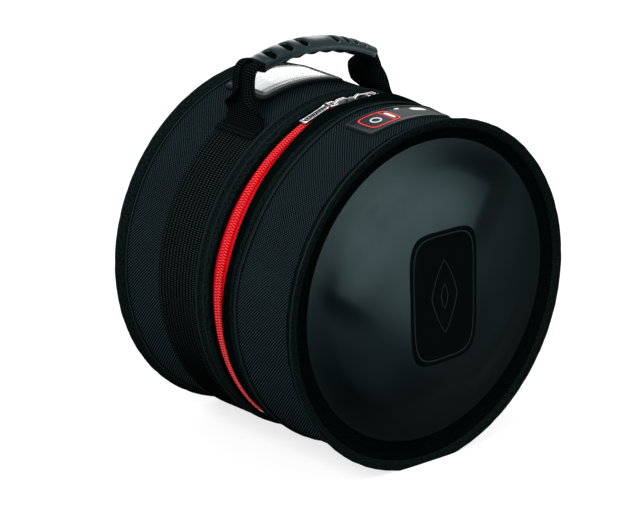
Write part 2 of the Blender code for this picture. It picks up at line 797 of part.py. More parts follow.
def slider(name, pivot, group, cutters, finish):
    """A slider: two plates joined by a thin post between the coils, and a bail on top."""
    half = SLIDER_WIDTH / 2
    post = SLIDER_POST / 2
    plate_low = SLIDER_TOP - SLIDER_PLATE
    under_top = ZIP_TAPE_INSIDE - SLIDER_UNDER_PLAY
    under_low = under_top - SLIDER_PLATE
    outline = [
        (-half, under_low),
        (half, under_low),
        (half, under_top),
        (post, under_top),
        (post, plate_low),
        (half, plate_low),
        (half, SLIDER_TOP),
        (-half, SLIDER_TOP),
        (-half, plate_low),
        (-post, plate_low),
        (-post, under_top),
        (-half, under_top),
    ]
    body_ends = (-SLIDER_LENGTH / 2, SLIDER_LENGTH / 2)
    sections = [[(x, y, z) for y, z in outline] for x in body_ends]
    body = loft(name, sections, group, finish)
    body.parent = pivot
    bail_top = BAIL_HOLE + BAIL_BAR
    reach = BAIL_LENGTH / 2
    arch = [
        (-reach, -SLIDER_PLATE / 2),
        (reach, -SLIDER_PLATE / 2),
        (reach, BAIL_HOLE / 2),
        (reach - bail_top / 2, bail_top),
        (bail_top / 2 - reach, bail_top),
        (-reach, BAIL_HOLE / 2),
    ]
    sections = []
    for y in (-BAIL_WIDTH / 2, BAIL_WIDTH / 2):
        sections.append([(x, y, SLIDER_TOP + z) for x, z in arch])
    bail = loft(name + "_bail", sections, cutters)
    inner = reach - BAIL_BAR
    opening = [
        (-inner, 0.0),
        (inner, 0.0),
        (inner, BAIL_HOLE / 2),
        (inner - BAIL_HOLE / 2, BAIL_HOLE),
        (BAIL_HOLE / 2 - inner, BAIL_HOLE),
        (-inner, BAIL_HOLE / 2),
    ]
    sections = []
    for y in (-BAIL_WIDTH, BAIL_WIDTH):
        sections.append([(x, y, SLIDER_TOP + z) for x, z in opening])
    hole = loft(name + "_hole", sections, cutters)
    for cutter in (bail, hole):
        cutter.parent = pivot
    cut(bail, hole)
    cut(body, bail, "UNION")
    return body


def pull_link(name, hand, pivot, group, finish):
    """The wire loop through the bail; its origin is on the bar that turns in the bail."""
    wire = bpy.data.curves.new(name, "CURVE")
    wire.dimensions = "3D"
    wire.bevel_depth = LINK_WIRE
    wire.bevel_resolution = WIRE_SIDES
    outline = rounded_outline(LINK_LENGTH, 2 * LINK_HALF_WIDTH, LINK_CORNER)
    line = wire.splines.new("POLY")
    line.points.add(len(outline) - 1)
    line.use_cyclic_u = True
    for point, (x, y) in zip(line.points, outline):
        point.co = (x + hand * LINK_LENGTH / 2, y, 0.0, 1.0)
    piece = add_object(name, wire, group, finish)
    piece.parent = pivot
    piece.location = (hand * LINK_PLACE, 0.0, BAIL_AXIS)
    return piece


def pull_tab(name, hand, pivot, group, cutters, finish):
    """The open tab with a rolled end; its origin is on the bar of the link in that end."""
    outer = rounded_outline(TAB_LENGTH, TAB_WIDTH, TAB_CORNER)
    gap = TAB_BARREL + TAB_BORDER
    window_length = TAB_LENGTH - gap - TAB_BORDER
    inner = rounded_outline(window_length, TAB_WIDTH - 2 * TAB_BORDER, TAB_CORNER / 2)
    shift = (gap - TAB_BORDER) / 2
    inner = [(x + hand * shift, y) for x, y in inner]
    middle = hand * (TAB_LENGTH / 2 + TAB_BORE)
    outlines = [[(x + middle, y) for x, y in line] for line in (outer, inner)]
    tab = plate(name, outlines, TAB_THICKNESS, group, finish)
    barrel_length = 2 * (LINK_HALF_WIDTH - LINK_WIRE - FIT_GAP)
    barrel = rod(name + "_barrel", TAB_BARREL, barrel_length, cutters)
    bore = rod(name + "_bore", TAB_BORE, 2 * barrel_length, cutters)
    for piece in (tab, barrel, bore):
        place_tab(piece, hand, pivot)
    cut(tab, barrel, "UNION")
    cut(tab, bore)
    return tab


def place_tab(piece, hand, pivot):
    """Set a piece of the tab on the outer bar of the link, lying on the coil."""
    piece.parent = pivot
    piece.location = (hand * (LINK_PLACE + LINK_LENGTH), 0.0, BAIL_AXIS)
    piece.rotation_euler = (0.0, math.radians(hand * TAB_DROOP), 0.0)


def build_base(group, cutters, ground, looks):
    """Model the base: everything that stays put when the lid opens."""
    nylon_wall("base_shell", 1, group, looks["nylon"])
    disc("base_end_panel", 1, 0.0, BEAD_INSIDE - FIT_GAP, PANEL_RECESS, PANEL_THICKNESS,
         group, looks["nylon"])
    foam_wall("base_foam_wall", 1, group, looks["foam"])
    foam_end("base_foam_end", 1, group, looks["foam"])
    lining("base_lining", 1, group, looks["lining"])
    rim_binding("base_rim_binding", 1, group, looks["binding"], ground)
    edge_binding("base_zip_binding", 1, group, looks["binding"])
    zip_tape("zip_tape_base", 1, group, looks["zip"])
    zip_coil("zip_coil_base", 1, group, looks["zip"])
    for name, hand in (("zip_stop_left", -1), ("zip_stop_right", 1)):
        zip_stop(name, hand, group, looks["metal"])
    hinge_panel("hinge_panel", group, looks["nylon"])
    strap_band(group, looks["webbing"])
    for name, hand in (("handle_foot_left", -1), ("handle_foot_right", 1)):
        handle_ear(name, hand, group, looks["webbing"])
    name_holder(group, cutters, looks["rubber"], looks["clear"], looks["card"])


def build_lid(group, ground, looks):
    """Model the lid, and hang it on the pivot under the bag."""
    hinge_radius = ZIP_TAPE_OUTSIDE + HINGE_PANEL_LIFT + HINGE_PANEL_THICKNESS
    pivot = add_empty("lid_pivot", group, (0.0, ZIP_Y, AXIS_HEIGHT - hinge_radius))
    pieces = [
        nylon_wall("lid_shell", -1, group, looks["nylon"]),
        disc("lid_end_panel", -1, 0.0, VINYL_RADIUS, PANEL_RECESS, PANEL_THICKNESS,
             group, looks["vinyl"]),
        disc("lid_end_ring", -1, VINYL_RADIUS + FIT_GAP, BEAD_INSIDE - FIT_GAP,
             PANEL_RECESS, PANEL_THICKNESS, group, looks["nylon"]),
        foam_wall("lid_foam_wall", -1, group, looks["foam"]),
        foam_end("lid_foam_end", -1, group, looks["foam"]),
        lining("lid_lining", -1, group, looks["lining"]),
        rim_binding("lid_rim_binding", -1, group, looks["binding"], ground),
        edge_binding("lid_zip_binding", -1, group, looks["binding"]),
        zip_tape("zip_tape_lid", -1, group, looks["zip"]),
        zip_coil("zip_coil_lid", -1, group, looks["zip"]),
        badge(group, looks["rubber"]),
        emblem(group, looks["patch"]),
    ]
    for piece in pieces:
        hang_on(piece, pivot)


def build_handle(group, cutters, looks):
    """Model the grip and its strap, and hang them on the pivot through their feet."""
    pivot = add_empty("handle_pivot", group, (0.0, STRAP_Y, AXIS_HEIGHT + PIVOT_HEIGHT))
    strap = loft("handle_strap", strap_sections(0.0), group, looks["webbing"])
    for piece in (grip(group, cutters, looks["grip"]), strap):
        hang_on(piece, pivot)


def build_pulls(group, cutters, looks):
    """Model both sliders with their links and tabs, each on a pivot on the case's axis."""
    places = (("left", -1, LEFT_SLIDER_ANGLE), ("right", 1, RIGHT_SLIDER_ANGLE))
    for word, hand, angle in places:
        pivot = add_empty(f"slider_pivot_{word}", group, (0.0, ZIP_Y, AXIS_HEIGHT), angle)
        slider(f"slider_{word}", pivot, group, cutters, looks["metal"])
        pull_link(f"pull_link_{word}", hand, pivot, group, looks["metal"])
        pull_tab(f"pull_tab_{word}", hand, pivot, group, cutters, looks["metal"])


def make_looks():
    """Return the materials by the name of the stuff."""
    return {
        "nylon": material("nylon", (0.012, 0.014, 0.018), 0.75),
        "foam": material("foam", (0.05, 0.05, 0.055), 0.9),
        "lining": material("lining", (0.03, 0.03, 0.033), 0.8),
        "binding": material("binding", (0.008, 0.012, 0.013), 0.6),
        "zip": material("zip", (0.75, 0.02, 0.03), 0.6),
        "metal": material("metal", (0.75, 0.75, 0.76), 0.2, 1.0),
        "webbing": material("webbing", (0.01, 0.011, 0.012), 0.7),
        "rubber": material("rubber", (0.015, 0.019, 0.021), 0.5),
        "clear": material("clear", (0.85, 0.88, 0.9), 0.1),
        "card": material("card", (0.85, 0.85, 0.85), 0.7),
        "vinyl": material("vinyl", (0.012, 0.02, 0.022), 0.4),
        "patch": material("patch", (0.006, 0.007, 0.008), 0.6),
        "grip": material("grip", (0.02, 0.028, 0.03), 0.45),
    }


def main():
    """Clear the scene and build the bag."""
    for old in list(bpy.data.objects):
        bpy.data.objects.remove(old)
    group = bpy.data.collections.new("tom_drum_bag")
    cutters = bpy.data.collections.new("cutters")
    for made in (group, cutters):
        bpy.context.scene.collection.children.link(made)
    reach = 2 * RIM_RADIUS
    ground = box("ground", (-reach, -reach, -reach), (reach, reach, 0.0), cutters)
    ground.hide_render = True
    ground.display_type = "WIRE"
    looks = make_looks()
    build_base(group, cutters, ground, looks)
    build_lid(group, ground, looks)
    build_handle(group, cutters, looks)
    build_pulls(group, cutters, looks)


main()
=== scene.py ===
"""Looks for the tom drum bag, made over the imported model, which stays fixed.

Lengths are in metres and angles in degrees, unless a name says otherwise. The axis of
the bag runs along Y, with the lid at -Y. The angle round it starts at the top and
grows towards +X. Every piece is a grid of points that numpy works out as whole arrays.
"""

import json
import logging
import math
from dataclasses import dataclass, field, replace
from enum import Enum
from functools import cache, reduce
from typing import Iterable, Sequence

import bmesh
import bpy
import numpy as np
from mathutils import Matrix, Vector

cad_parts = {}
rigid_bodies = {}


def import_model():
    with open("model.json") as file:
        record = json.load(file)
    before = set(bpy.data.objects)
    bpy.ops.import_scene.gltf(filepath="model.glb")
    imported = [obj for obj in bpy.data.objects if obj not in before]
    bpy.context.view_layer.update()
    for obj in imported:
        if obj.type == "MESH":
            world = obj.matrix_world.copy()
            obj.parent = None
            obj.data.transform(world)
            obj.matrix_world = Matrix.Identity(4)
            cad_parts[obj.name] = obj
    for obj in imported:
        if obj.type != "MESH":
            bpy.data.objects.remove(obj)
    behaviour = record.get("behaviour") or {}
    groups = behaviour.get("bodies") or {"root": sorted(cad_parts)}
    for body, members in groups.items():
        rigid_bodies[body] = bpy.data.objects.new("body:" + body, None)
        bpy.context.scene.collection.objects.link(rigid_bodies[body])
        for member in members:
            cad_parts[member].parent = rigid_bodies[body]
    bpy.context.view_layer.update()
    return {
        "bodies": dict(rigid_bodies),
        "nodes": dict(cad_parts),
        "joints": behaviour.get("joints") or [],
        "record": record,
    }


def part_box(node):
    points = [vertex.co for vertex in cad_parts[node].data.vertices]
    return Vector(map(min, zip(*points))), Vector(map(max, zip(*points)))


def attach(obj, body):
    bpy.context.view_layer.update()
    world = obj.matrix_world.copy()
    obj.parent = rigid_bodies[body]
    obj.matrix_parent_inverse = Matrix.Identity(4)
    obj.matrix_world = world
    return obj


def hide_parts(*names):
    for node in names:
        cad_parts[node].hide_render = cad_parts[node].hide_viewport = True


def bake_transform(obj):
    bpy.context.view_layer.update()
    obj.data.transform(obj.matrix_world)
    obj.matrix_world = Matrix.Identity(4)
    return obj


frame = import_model()

LOG = logging.getLogger("tom_drum_bag")
Array = np.ndarray
Colour = tuple[float, float, float]
Pairs = Sequence[tuple[float, float]]
TURN = 2.0 * math.pi
MERGE = 0.000002
ROUND_STEPS = 288
SHARP_ANGLE = 42.0
SLACK_ANGLE = -45.0
SLACK_SPREAD = 30.0


class End(Enum):
    """The two halves of the bag, with the direction along Y from the zip to their rim."""

    LID = -1
    BASE = 1

    @property
    def body(self) -> str:
        """The CAD body that this half rides on, which also starts its pieces' names."""
        return self.name.lower()


class Hand(Enum):
    """The two sides of the bag, seen from the lid."""

    LEFT = -1
    RIGHT = 1

    @property
    def word(self) -> str:
        """The side as a word, for names."""
        return self.name.lower()


def by_end(lid: float, base: float) -> dict[End, float]:
    """Return a dataclass field that holds one number for each half."""
    return field(default_factory=lambda: {End.LID: lid, End.BASE: base})


# Numbers on arrays


def smooth_step(share: Array) -> Array:
    """Return 0 to 1 with level ends: three times the square less twice the cube."""
    share = np.clip(share, 0.0, 1.0)
    return share * share * (3.0 - 2.0 * share)


def bell(place: Array, middle: float, spread: float, power: int = 2) -> Array:
    """Return a bell curve: e to minus a power of the distance over the spread."""
    return np.exp(-(((place - middle) / spread) ** power))


def slackness(angle: Array) -> Array:
    """Return how slack the mouth is: a flat bell over the upper left, by degrees."""
    return bell(angle, SLACK_ANGLE, SLACK_SPREAD, 4)


def lengths(line: Array) -> Array:
    """Return how far along a line of points each of them lies."""
    return np.append(0.0, np.cumsum(np.linalg.norm(np.diff(line, axis=0), axis=1)))


def unit(vectors: Array) -> Array:
    """Return vectors at a length of one."""
    return vectors / np.linalg.norm(vectors, axis=-1, keepdims=True)


def rays(angle: Array) -> Array:
    """Return the directions away from the axis at angles in radians."""
    return np.stack([np.sin(angle), 0 * angle, np.cos(angle)], axis=-1)


def powered(share: Array, power: float) -> Array:
    """Return a sine or cosine raised to a power, with its sign kept."""
    return np.sign(share) * np.abs(share) ** power


def unevenness(turn: Array, along: Array, counts: Sequence[int], seed: int) -> Array:
    """Return a smooth unevenness that closes round the bag.

    It is the mean of sine waves, each with a whole number of waves in a turn, its own
    slant along the other direction and its own start.

    Args:
        turn: The angle round the bag, in radians.
        along: The place in the other direction, in metres.
        counts: How many waves each sine has in one turn.
        seed: Where the random slants and starts come from.

    Returns:
        Values between -1 and 1, in the shape of turn and along together.
    """
    chance = np.random.default_rng(seed)
    total = np.zeros(np.broadcast(turn, along).shape)
    for count in counts:
        slant, start = chance.uniform(-40.0, 40.0), chance.uniform(0.0, TURN)
        total = total + np.sin(count * turn + slant * along + start)
    return total / len(counts)


def softened(corners: Pairs, reach: float, steps: int = 4) -> Array:
    """Return a closed outline with its corners rounded.

    Each corner becomes a quadratic curve that leaves its two sides at a distance from
    the corner, or at just under half of a side that is too short for that.

    Args:
        corners: The corners of the outline, in order.
        reach: The distance from a corner at which its curve starts and ends.
        steps: The number of steps in each curve.

    Returns:
        The points of the outline, with the first one repeated at the end.
    """
    tips = np.array(corners, float)
    curves, ends = [], []
    for other in (np.roll(tips, 1, axis=0), np.roll(tips, -1, axis=0)):
        way = other - tips
        length = np.linalg.norm(way, axis=1, keepdims=True)
        ends.append(tips + way / length * np.minimum(reach, 0.48 * length))
    for share in np.linspace(0.0, 1.0, steps + 1):
        rest = 1.0 - share
        curves.append(rest * rest * ends[0] + 2 * rest * share * tips + share * share * ends[1])
    points = np.stack(curves, axis=1).reshape(-1, 2)
    return np.vstack([points, points[:1]])


def filled(outline: Array, spacing: float) -> Array:
    """Return an outline with more points, so that no side is longer than the spacing."""
    sides = np.linalg.norm(np.diff(outline, axis=0), axis=1)
    return split(outline, np.maximum(1, np.ceil(sides / spacing).astype(int)))


def split(outline: Array, parts: Array) -> Array:
    """Return an outline with each side cut into its number of parts."""
    first = np.repeat(np.arange(len(parts)), parts)
    within = np.arange(parts.sum()) - np.repeat(np.cumsum(parts) - parts, parts)
    places = np.append(first + within / np.repeat(parts, parts), len(parts))
    count = np.arange(len(outline))
    return np.stack([np.interp(places, count, column) for column in outline.T], axis=1)


def oval(half_width: float, half_height: float, squareness: float, steps: int = 96) -> Array:
    """Return a closed outline between an ellipse and a rectangle.

    It is a superellipse: the powers of x and y over their half sizes add up to one.
    A squareness of 2 makes an ellipse, 1 a lozenge, and more a rounder rectangle.
    """
    angle = np.linspace(0.0, TURN, steps + 1)
    across = half_width * powered(np.cos(angle), 2.0 / squareness)
    up = half_height * powered(np.sin(angle), 2.0 / squareness)
    return np.stack([across, up], axis=1)


def rounded(half_width: float, half_height: float, reach: float, parts: int = 24) -> Array:
    """Return a closed rectangle with rounded corners and each side cut into parts."""
    corners = np.array([(1, 1), (-1, 1), (-1, -1), (1, -1)]) * (half_width, half_height)
    return split(softened(corners, reach), np.array([1, 1, 1, 1, parts] * 4))


def turn_matrix(angle: float) -> Array:
    """Return the matrix that turns a point by an angle in degrees, from +Z towards +X."""
    c, s = math.cos(math.radians(angle)), math.sin(math.radians(angle))
    return np.array([[c, 0.0, s], [0.0, 1.0, 0.0], [-s, 0.0, c]])


@dataclass
class Skin:
    """A surface on its way to becoming a mesh.

    Attributes:
        points: The places of the points, one row each.
        faces: The four point numbers of each face.
        uv: The four texture places of each face, in metres along the surface.
        tone: Which of the piece's finishes each face has.
    """

    points: Array
    faces: Array
    uv: Array
    tone: Array

    @classmethod
    def grid(cls, points: Array, along: Array, across: Array) -> "Skin":
        """Return the skin of a grid of points.

        Args:
            points: Rows by columns by three.
            along: The texture place along the rows, which broadcasts to the grid.
            across: The texture place along the columns, likewise.
        """
        rows, columns = points.shape[:2]
        number = np.arange(rows * columns).reshape(rows, columns)
        corners = [number[:-1, :-1], number[:-1, 1:], number[1:, 1:], number[1:, :-1]]
        faces = np.stack(corners, axis=-1).reshape(-1, 4)
        flat = np.stack(np.broadcast_arrays(along, across), axis=-1).reshape(-1, 2)
        return cls(points.reshape(-1, 3), faces, flat[faces], np.zeros(len(faces), int))

    def __add__(self, other: "Skin") -> "Skin":
        """Return both skins as one."""
        return Skin(
            np.vstack([self.points, other.points]),
            np.vstack([self.faces, other.faces + len(self.points)]),
            np.vstack([self.uv, other.uv]),
            np.append(self.tone, other.tone),
        )

    def moved(self, turn: Array, shift: Sequence[float]) -> "Skin":
        """Return the skin turned by a matrix and then shifted."""
        return replace(self, points=self.points @ turn.T + np.array(shift))

    def shifted(self, x: float, y: float, z: float) -> "Skin":
        """Return the skin shifted along the axes."""
        return replace(self, points=self.points + np.array([x, y, z]))

    def toned(self, share: Array) -> "Skin":
        """Return the skin with its second finish where a value by point is above zero."""
        return replace(self, tone=(share[self.faces].min(axis=1) > 0).astype(int))

    def second(self) -> "Skin":
        """Return the skin with its second finish all over."""
        return replace(self, tone=self.tone + 1)

    def repeated(self, path: "Path") -> "Skin":
        """Return a copy at each place of a path: x along it, y to its side, z up."""
        ahead = np.cross(path.side, path.up)
        basis = np.stack([ahead, path.side, path.up], axis=1)
        points = np.einsum("pk,nkc->npc", self.points, basis) + path.places[:, None]
        copies = len(path.places)
        steps = np.arange(copies)[:, None, None] * len(self.points)
        faces = (self.faces[None] + steps).reshape(-1, 4)
        uv = np.tile(self.uv, (copies, 1, 1))
        return Skin(points.reshape(-1, 3), faces, uv, np.tile(self.tone, copies))


def joined(skins: Iterable[Skin]) -> Skin:
    """Return several skins as one, in their order."""
    return reduce(Skin.__add__, skins)


@dataclass
class Path:
    """A line through space, with the two directions of a section at each place.

    Attributes:
        places: The points of the line.
        side: The direction of the section's first coordinate at each point.
        up: The direction of its second coordinate.
        along: The distance along the line, for textures.
    """

    places: Array
    side: Array
    up: Array
    along: Array

    @classmethod
    def through(cls, knots: Sequence[Sequence[float]], steps: int, side: Sequence[float]) -> "Path":
        """Return a smooth curve through given knots in a plane across one direction.

        Between two knots it is the cubic curve whose slope at each knot points from
        the knot before to the one after.
        """
        fixed = np.array(knots, float)
        padded = np.vstack([2 * fixed[0] - fixed[1], fixed, 2 * fixed[-1] - fixed[-2]])
        place = np.linspace(0.0, len(fixed) - 1.000001, steps + 1)
        first = place.astype(int)
        t = (place - first)[:, None]
        a, b, c, d = (padded[first + shift] for shift in range(4))
        bend = (c - a) * t + (2 * a - 5 * b + 4 * c - d) * t**2 + (3 * b - a - 3 * c + d) * t**3
        return cls.along_points(b + bend / 2, side)

    @classmethod
    def along_points(cls, places: Array, side: Sequence[float]) -> "Path":
        """Return the path through places whose section keeps one side direction."""
        across = np.broadcast_to(np.array(side, float), places.shape)
        up = np.cross(unit(np.gradient(places, axis=0)), across)
        return cls(places, across, up, lengths(places))

    def sections(self, outline: Array) -> Array:
        """Return a copy of an outline for each place, to be changed along the path."""
        return np.broadcast_to(outline, (len(self.places), *outline.shape)).copy()

    def carry(self, section: Array, closed_ends: bool = False) -> Skin:
        """Return the skin of a section carried along the path.

        Args:
            section: Points of (side, up), columns by two, or rows by columns by two
                where it changes along the path.
            closed_ends: Whether the first and last sections are closed to their middle.
        """
        outlines = np.broadcast_to(section, (len(self.places), *section.shape[-2:]))
        if closed_ends:
            middles = outlines[:, :-1].mean(axis=1, keepdims=True)
            first = np.broadcast_to(middles[:1], outlines[:1].shape)
            last = np.broadcast_to(middles[-1:], outlines[-1:].shape)
            rows = np.r_[0, np.arange(len(self.places)), len(self.places) - 1]
            return self.picked(rows).carry(np.vstack([first, outlines, last]))
        points = self.places[:, None] + self.side[:, None] * outlines[..., :1]
        points = points + self.up[:, None] * outlines[..., 1:]
        sides = np.linalg.norm(np.diff(outlines, axis=1), axis=2)
        across = np.pad(np.cumsum(sides, axis=1), ((0, 0), (1, 0)))
        return Skin.grid(points, self.along[:, None], across)

    def picked(self, rows: Array) -> "Path":
        """Return the path at some of its places only."""
        return Path(self.places[rows], self.side[rows], self.up[rows], self.along[rows])

    def spaced(self, pitch: float, side: float | Array = 0.0, up: float = 0.0) -> "Path":
        """Return evenly spaced places on a line that runs beside this path."""
        line = self.places + self.side * side + self.up * up
        steps = lengths(line)
        count = max(2, round(steps[-1] / pitch))
        places = (np.arange(count) + 0.5) * steps[-1] / count
        columns = np.hstack([line, self.side, self.up])
        found = np.stack([np.interp(places, steps, column) for column in columns.T], axis=1)
        return Path(found[:, :3], found[:, 3:6], found[:, 6:], places)


def pillow(length: float, width: float, height: float, box: float = 0.35) -> Skin:
    """Return a rounded block about the origin.

    It is a superellipsoid: sines and cosines of two angles, raised to a small power
    that squares them. A power of 1 is an ellipsoid and 0 would be a sharp box.
    """
    around = np.linspace(0.0, TURN, 25)[:, None]
    rise = np.linspace(-math.pi / 2, math.pi / 2, 13)[None]
    girth = powered(np.cos(rise), box)
    x = length / 2 * girth * powered(np.cos(around), box)
    y = width / 2 * girth * powered(np.sin(around), box)
    z = height / 2 * powered(np.sin(rise), box) + 0 * x
    return Skin.grid(np.stack([x, y, z], axis=2), x, y)


def plate(outer: Array, inner: Array, profile: Pairs) -> Skin:
    """Return a plate that lies between two outlines.

    Args:
        outer: The outline outside, columns by two.
        inner: The outline inside, which may be one point or a short line.
        profile: Rows of (share of the way from the outer to the inner outline, height).

    Returns:
        The skin, with x and y in the plane of the outlines and z its height.
    """
    rows = np.array(profile, float)
    flat = outer + (inner - outer) * rows[:, :1, None]
    height = np.broadcast_to(rows[:, 1:, None], (*flat.shape[:2], 1))
    points = np.concatenate([flat, height], axis=2)
    return Skin.grid(points, points[..., 0], points[..., 1])


@dataclass(frozen=True)
class Case:
    """The case's own sizes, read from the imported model, and the gap under what lies on it."""

    axis: float
    radius: float
    rims: dict[End, float]
    edges: dict[End, float]
    lift: float = 0.0003

    @classmethod
    def measured(cls) -> "Case":
        """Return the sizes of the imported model."""
        low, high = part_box("lid_shell")
        rims = {End.LID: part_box("lid_rim_binding")[0].y, End.BASE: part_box("base_rim_binding")[1].y}
        edges = {End.LID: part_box("lid_zip_binding")[1].y, End.BASE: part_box("base_zip_binding")[0].y}
        return cls((low.z + high.z) / 2, (high.x - low.x) / 2, rims, edges)

    @property
    def zip_y(self) -> float:
        """The middle of the zip along Y."""
        return sum(self.edges.values()) / 2

    @property
    def surface(self) -> float:
        """The radius at which a piece lies on the nylon."""
        return self.radius + self.lift

    def at_depth(self, end: End, depth: Array) -> Array:
        """Return the y of a depth inwards from a rim."""
        return self.rims[end] - end.value * depth

    def around(self, start: float = -180.0, stop: float = 180.0, steps: int = ROUND_STEPS) -> Path:
        """Return the way round the case, on whose sections up is the radius and side is y."""
        angle = np.radians(np.linspace(start, stop, steps + 1))
        up = rays(angle)
        side = np.broadcast_to([0.0, 1.0, 0.0], up.shape)
        return Path(np.broadcast_to([0.0, 0.0, self.axis], up.shape), side, up, angle * self.radius)

    def angles(self, path: Path) -> Array:
        """Return the angle round the case at each place of a path, as a column."""
        return path.along[:, None] / self.radius

    def wrapped(self, skin: Skin, angle: float, y: float, base: float) -> Skin:
        """Return a flat skin laid on the case: x becomes the way round, z the height."""
        turn = math.radians(angle) + skin.points[:, 0] / base
        radius = base + skin.points[:, 2]
        places = [radius * np.sin(turn), y + skin.points[:, 1], self.axis + radius * np.cos(turn)]
        return replace(skin, points=np.stack(places, axis=1))

    def on_end(self, skin: Skin, end: End, depth: float, x: float, z: float) -> Skin:
        """Return a flat skin set on an end of the bag, with its height outwards."""
        out = end.value
        turn = np.array([[-out, 0.0, 0.0], [0.0, 0.0, out], [0.0, 1.0, 0.0]], float)
        return skin.moved(turn, (x, self.at_depth(end, depth), self.axis + z))


# Finishes


class Nodes:
    """A node tree, to which nodes are added one at a time."""

    def __init__(self, tree: bpy.types.NodeTree, shader: str) -> None:
        """Start with a tree and the name of its shader."""
        self.tree = tree
        self.shader = tree.nodes[shader]

    def fill(self, node: bpy.types.Node, inputs: dict) -> None:
        """Link or set a node's inputs by name or number."""
        for key, value in inputs.items():
            if isinstance(value, bpy.types.NodeSocket):
                self.tree.links.new(value, node.inputs[key])
            else:
                node.inputs[key].default_value = value

    def add(self, kind: str, inputs: dict, **choices: object) -> bpy.types.Node:
        """Add a node, set its choices, and link or set its inputs by name or number."""
        node = self.tree.nodes.new("ShaderNode" + kind)
        for name, choice in choices.items():
            setattr(node, name, choice)
        self.fill(node, inputs)
        return node

    def math(self, operation: str, *values: object) -> bpy.types.NodeSocket:
        """Return the result of a Math node."""
        return self.add("Math", dict(enumerate(values)), operation=operation).outputs[0]

    def seen(self) -> bpy.types.NodeSocket:
        """Return 1 for a ray from the camera, a reflection or a clear body, else 0."""
        path = self.add("LightPath", {}).outputs
        seen = self.math("MAXIMUM", path["Is Camera Ray"], path["Is Glossy Ray"])
        return self.math("MAXIMUM", seen, path["Is Transmission Ray"])


class Recipe(Nodes):
    """The nodes of one material."""

    def __init__(self, name: str) -> None:
        """Start a material with a plain Principled shader."""
        self.material = bpy.data.materials.new(name)
        self.material.use_nodes = True
        super().__init__(self.material.node_tree, "Principled BSDF")

    def blend(self, share: object, low: object, high: object) -> bpy.types.NodeSocket:
        """Return a number between two others by a share."""
        return self.add("Mix", {0: share, 2: low, 3: high}).outputs[0]

    def place(self) -> bpy.types.NodeSocket:
        """Return the place on the object."""
        return self.add("TexCoord", {}).outputs["Object"]

    def surface(self) -> bpy.types.NodeSocket:
        """Return the place on the piece's own UV map, in metres."""
        return self.add("UVMap", {}, uv_map="UVMap").outputs["UV"]

    def noise(self, vector: object, scale: float, detail: float = 2.0) -> bpy.types.NodeSocket:
        """Return noise between 0 and 1."""
        inputs = {"Vector": vector, "Scale": scale, "Detail": detail}
        return self.add("TexNoise", inputs).outputs[0]

    def phase(self, vector: object, along: float, across: float) -> bpy.types.NodeSocket:
        """Return how far a point lies along a direction: its dot product with it."""
        inputs = {0: vector, 1: (along, across, 0.0)}
        return self.add("VectorMath", inputs, operation="DOT_PRODUCT").outputs["Value"]

    def ribs(self, vector: object, along: float, across: float) -> bpy.types.NodeSocket:
        """Return even ribs from 0 to 1, so many to the metre along each direction."""
        sine = self.math("SINE", self.math("MULTIPLY", self.phase(vector, along, across), TURN))
        return self.math("MULTIPLY_ADD", sine, 0.5, 0.5)


@dataclass(frozen=True)
class Finish:
    """How a stuff looks: two colours mixed by a pattern, which is also its relief.

    Attributes:
        slot: The record's material slot, which also names the material.
        dark: The colour at the bottom of the pattern.
        light: The colour at its top.
        roughness: The roughness at the bottom and at the top of the pattern.
        relief: The depth of the relief.
        cells: How many cells of the pattern go to a metre.
        mottle: How far broad patches change the colour.
        metallic: Whether it is metal.
        shine: The specular level.
        tint: The colour of the gloss.
    """

    slot: str
    dark: Colour
    light: Colour
    roughness: tuple[float, float] = (0.7, 0.6)
    relief: float = 0.0002
    cells: float = 600.0
    mottle: float = 0.25
    metallic: float = 0.0
    shine: float = 0.5
    tint: Colour = (1.0, 1.0, 1.0)

    def pattern(self, recipe: Recipe) -> bpy.types.NodeSocket:
        """Return the pattern from 0 to 1: here a fine even grain."""
        return recipe.noise(recipe.place(), self.cells, 3.0)

    @cache
    def material(self) -> bpy.types.Material:
        """Return the material, made at the first call."""
        recipe = Recipe(self.slot)
        height = self.pattern(recipe)
        patches = recipe.noise(recipe.place(), 22.0, 4.0)
        share = recipe.blend(self.mottle, height, recipe.math("MULTIPLY", height, patches))
        colours = {0: share, 6: (*self.dark, 1.0), 7: (*self.light, 1.0)}
        colour = recipe.add("Mix", colours, data_type="RGBA").outputs[2]
        rough = recipe.blend(height, *self.roughness)
        wear = recipe.math("MULTIPLY_ADD", patches, 0.12, -0.06)
        bump = recipe.add("Bump", {"Height": height, "Distance": self.relief, "Strength": 1.0})
        recipe.fill(recipe.shader, {
            "Base Color": colour,
            "Roughness": recipe.math("ADD", rough, wear),
            "Normal": bump.outputs[0],
            "Metallic": self.metallic,
            "Specular IOR Level": self.shine,
            "Specular Tint": (*self.tint, 1.0),
        })
        recipe.material.diffuse_color = (*self.light, 1.0)
        return recipe.material


@dataclass(frozen=True)
class Basketweave(Finish):
    """Heavy nylon: square cells that show as two crossing sets of slanted ribs."""

    def pattern(self, recipe: Recipe) -> bpy.types.NodeSocket:
        """Return the ribs: the steeper set on the walls, the other one towards the top."""
        cloth = recipe.surface()
        falling = recipe.ribs(cloth, self.cells, self.cells)
        rising = recipe.ribs(cloth, self.cells, -self.cells)
        height = recipe.add("SeparateXYZ", {0: recipe.place()}).outputs[2]
        share = recipe.add("MapRange", {0: height, 1: 0.19, 2: 0.24, 3: 0.08, 4: 0.62}).outputs[0]
        ribs = recipe.math("POWER", recipe.blend(share, falling, rising), 3.2)
        fuzz = recipe.noise(cloth, 3.0 * self.cells, 2.0)
        return recipe.blend(0.10, ribs, fuzz)


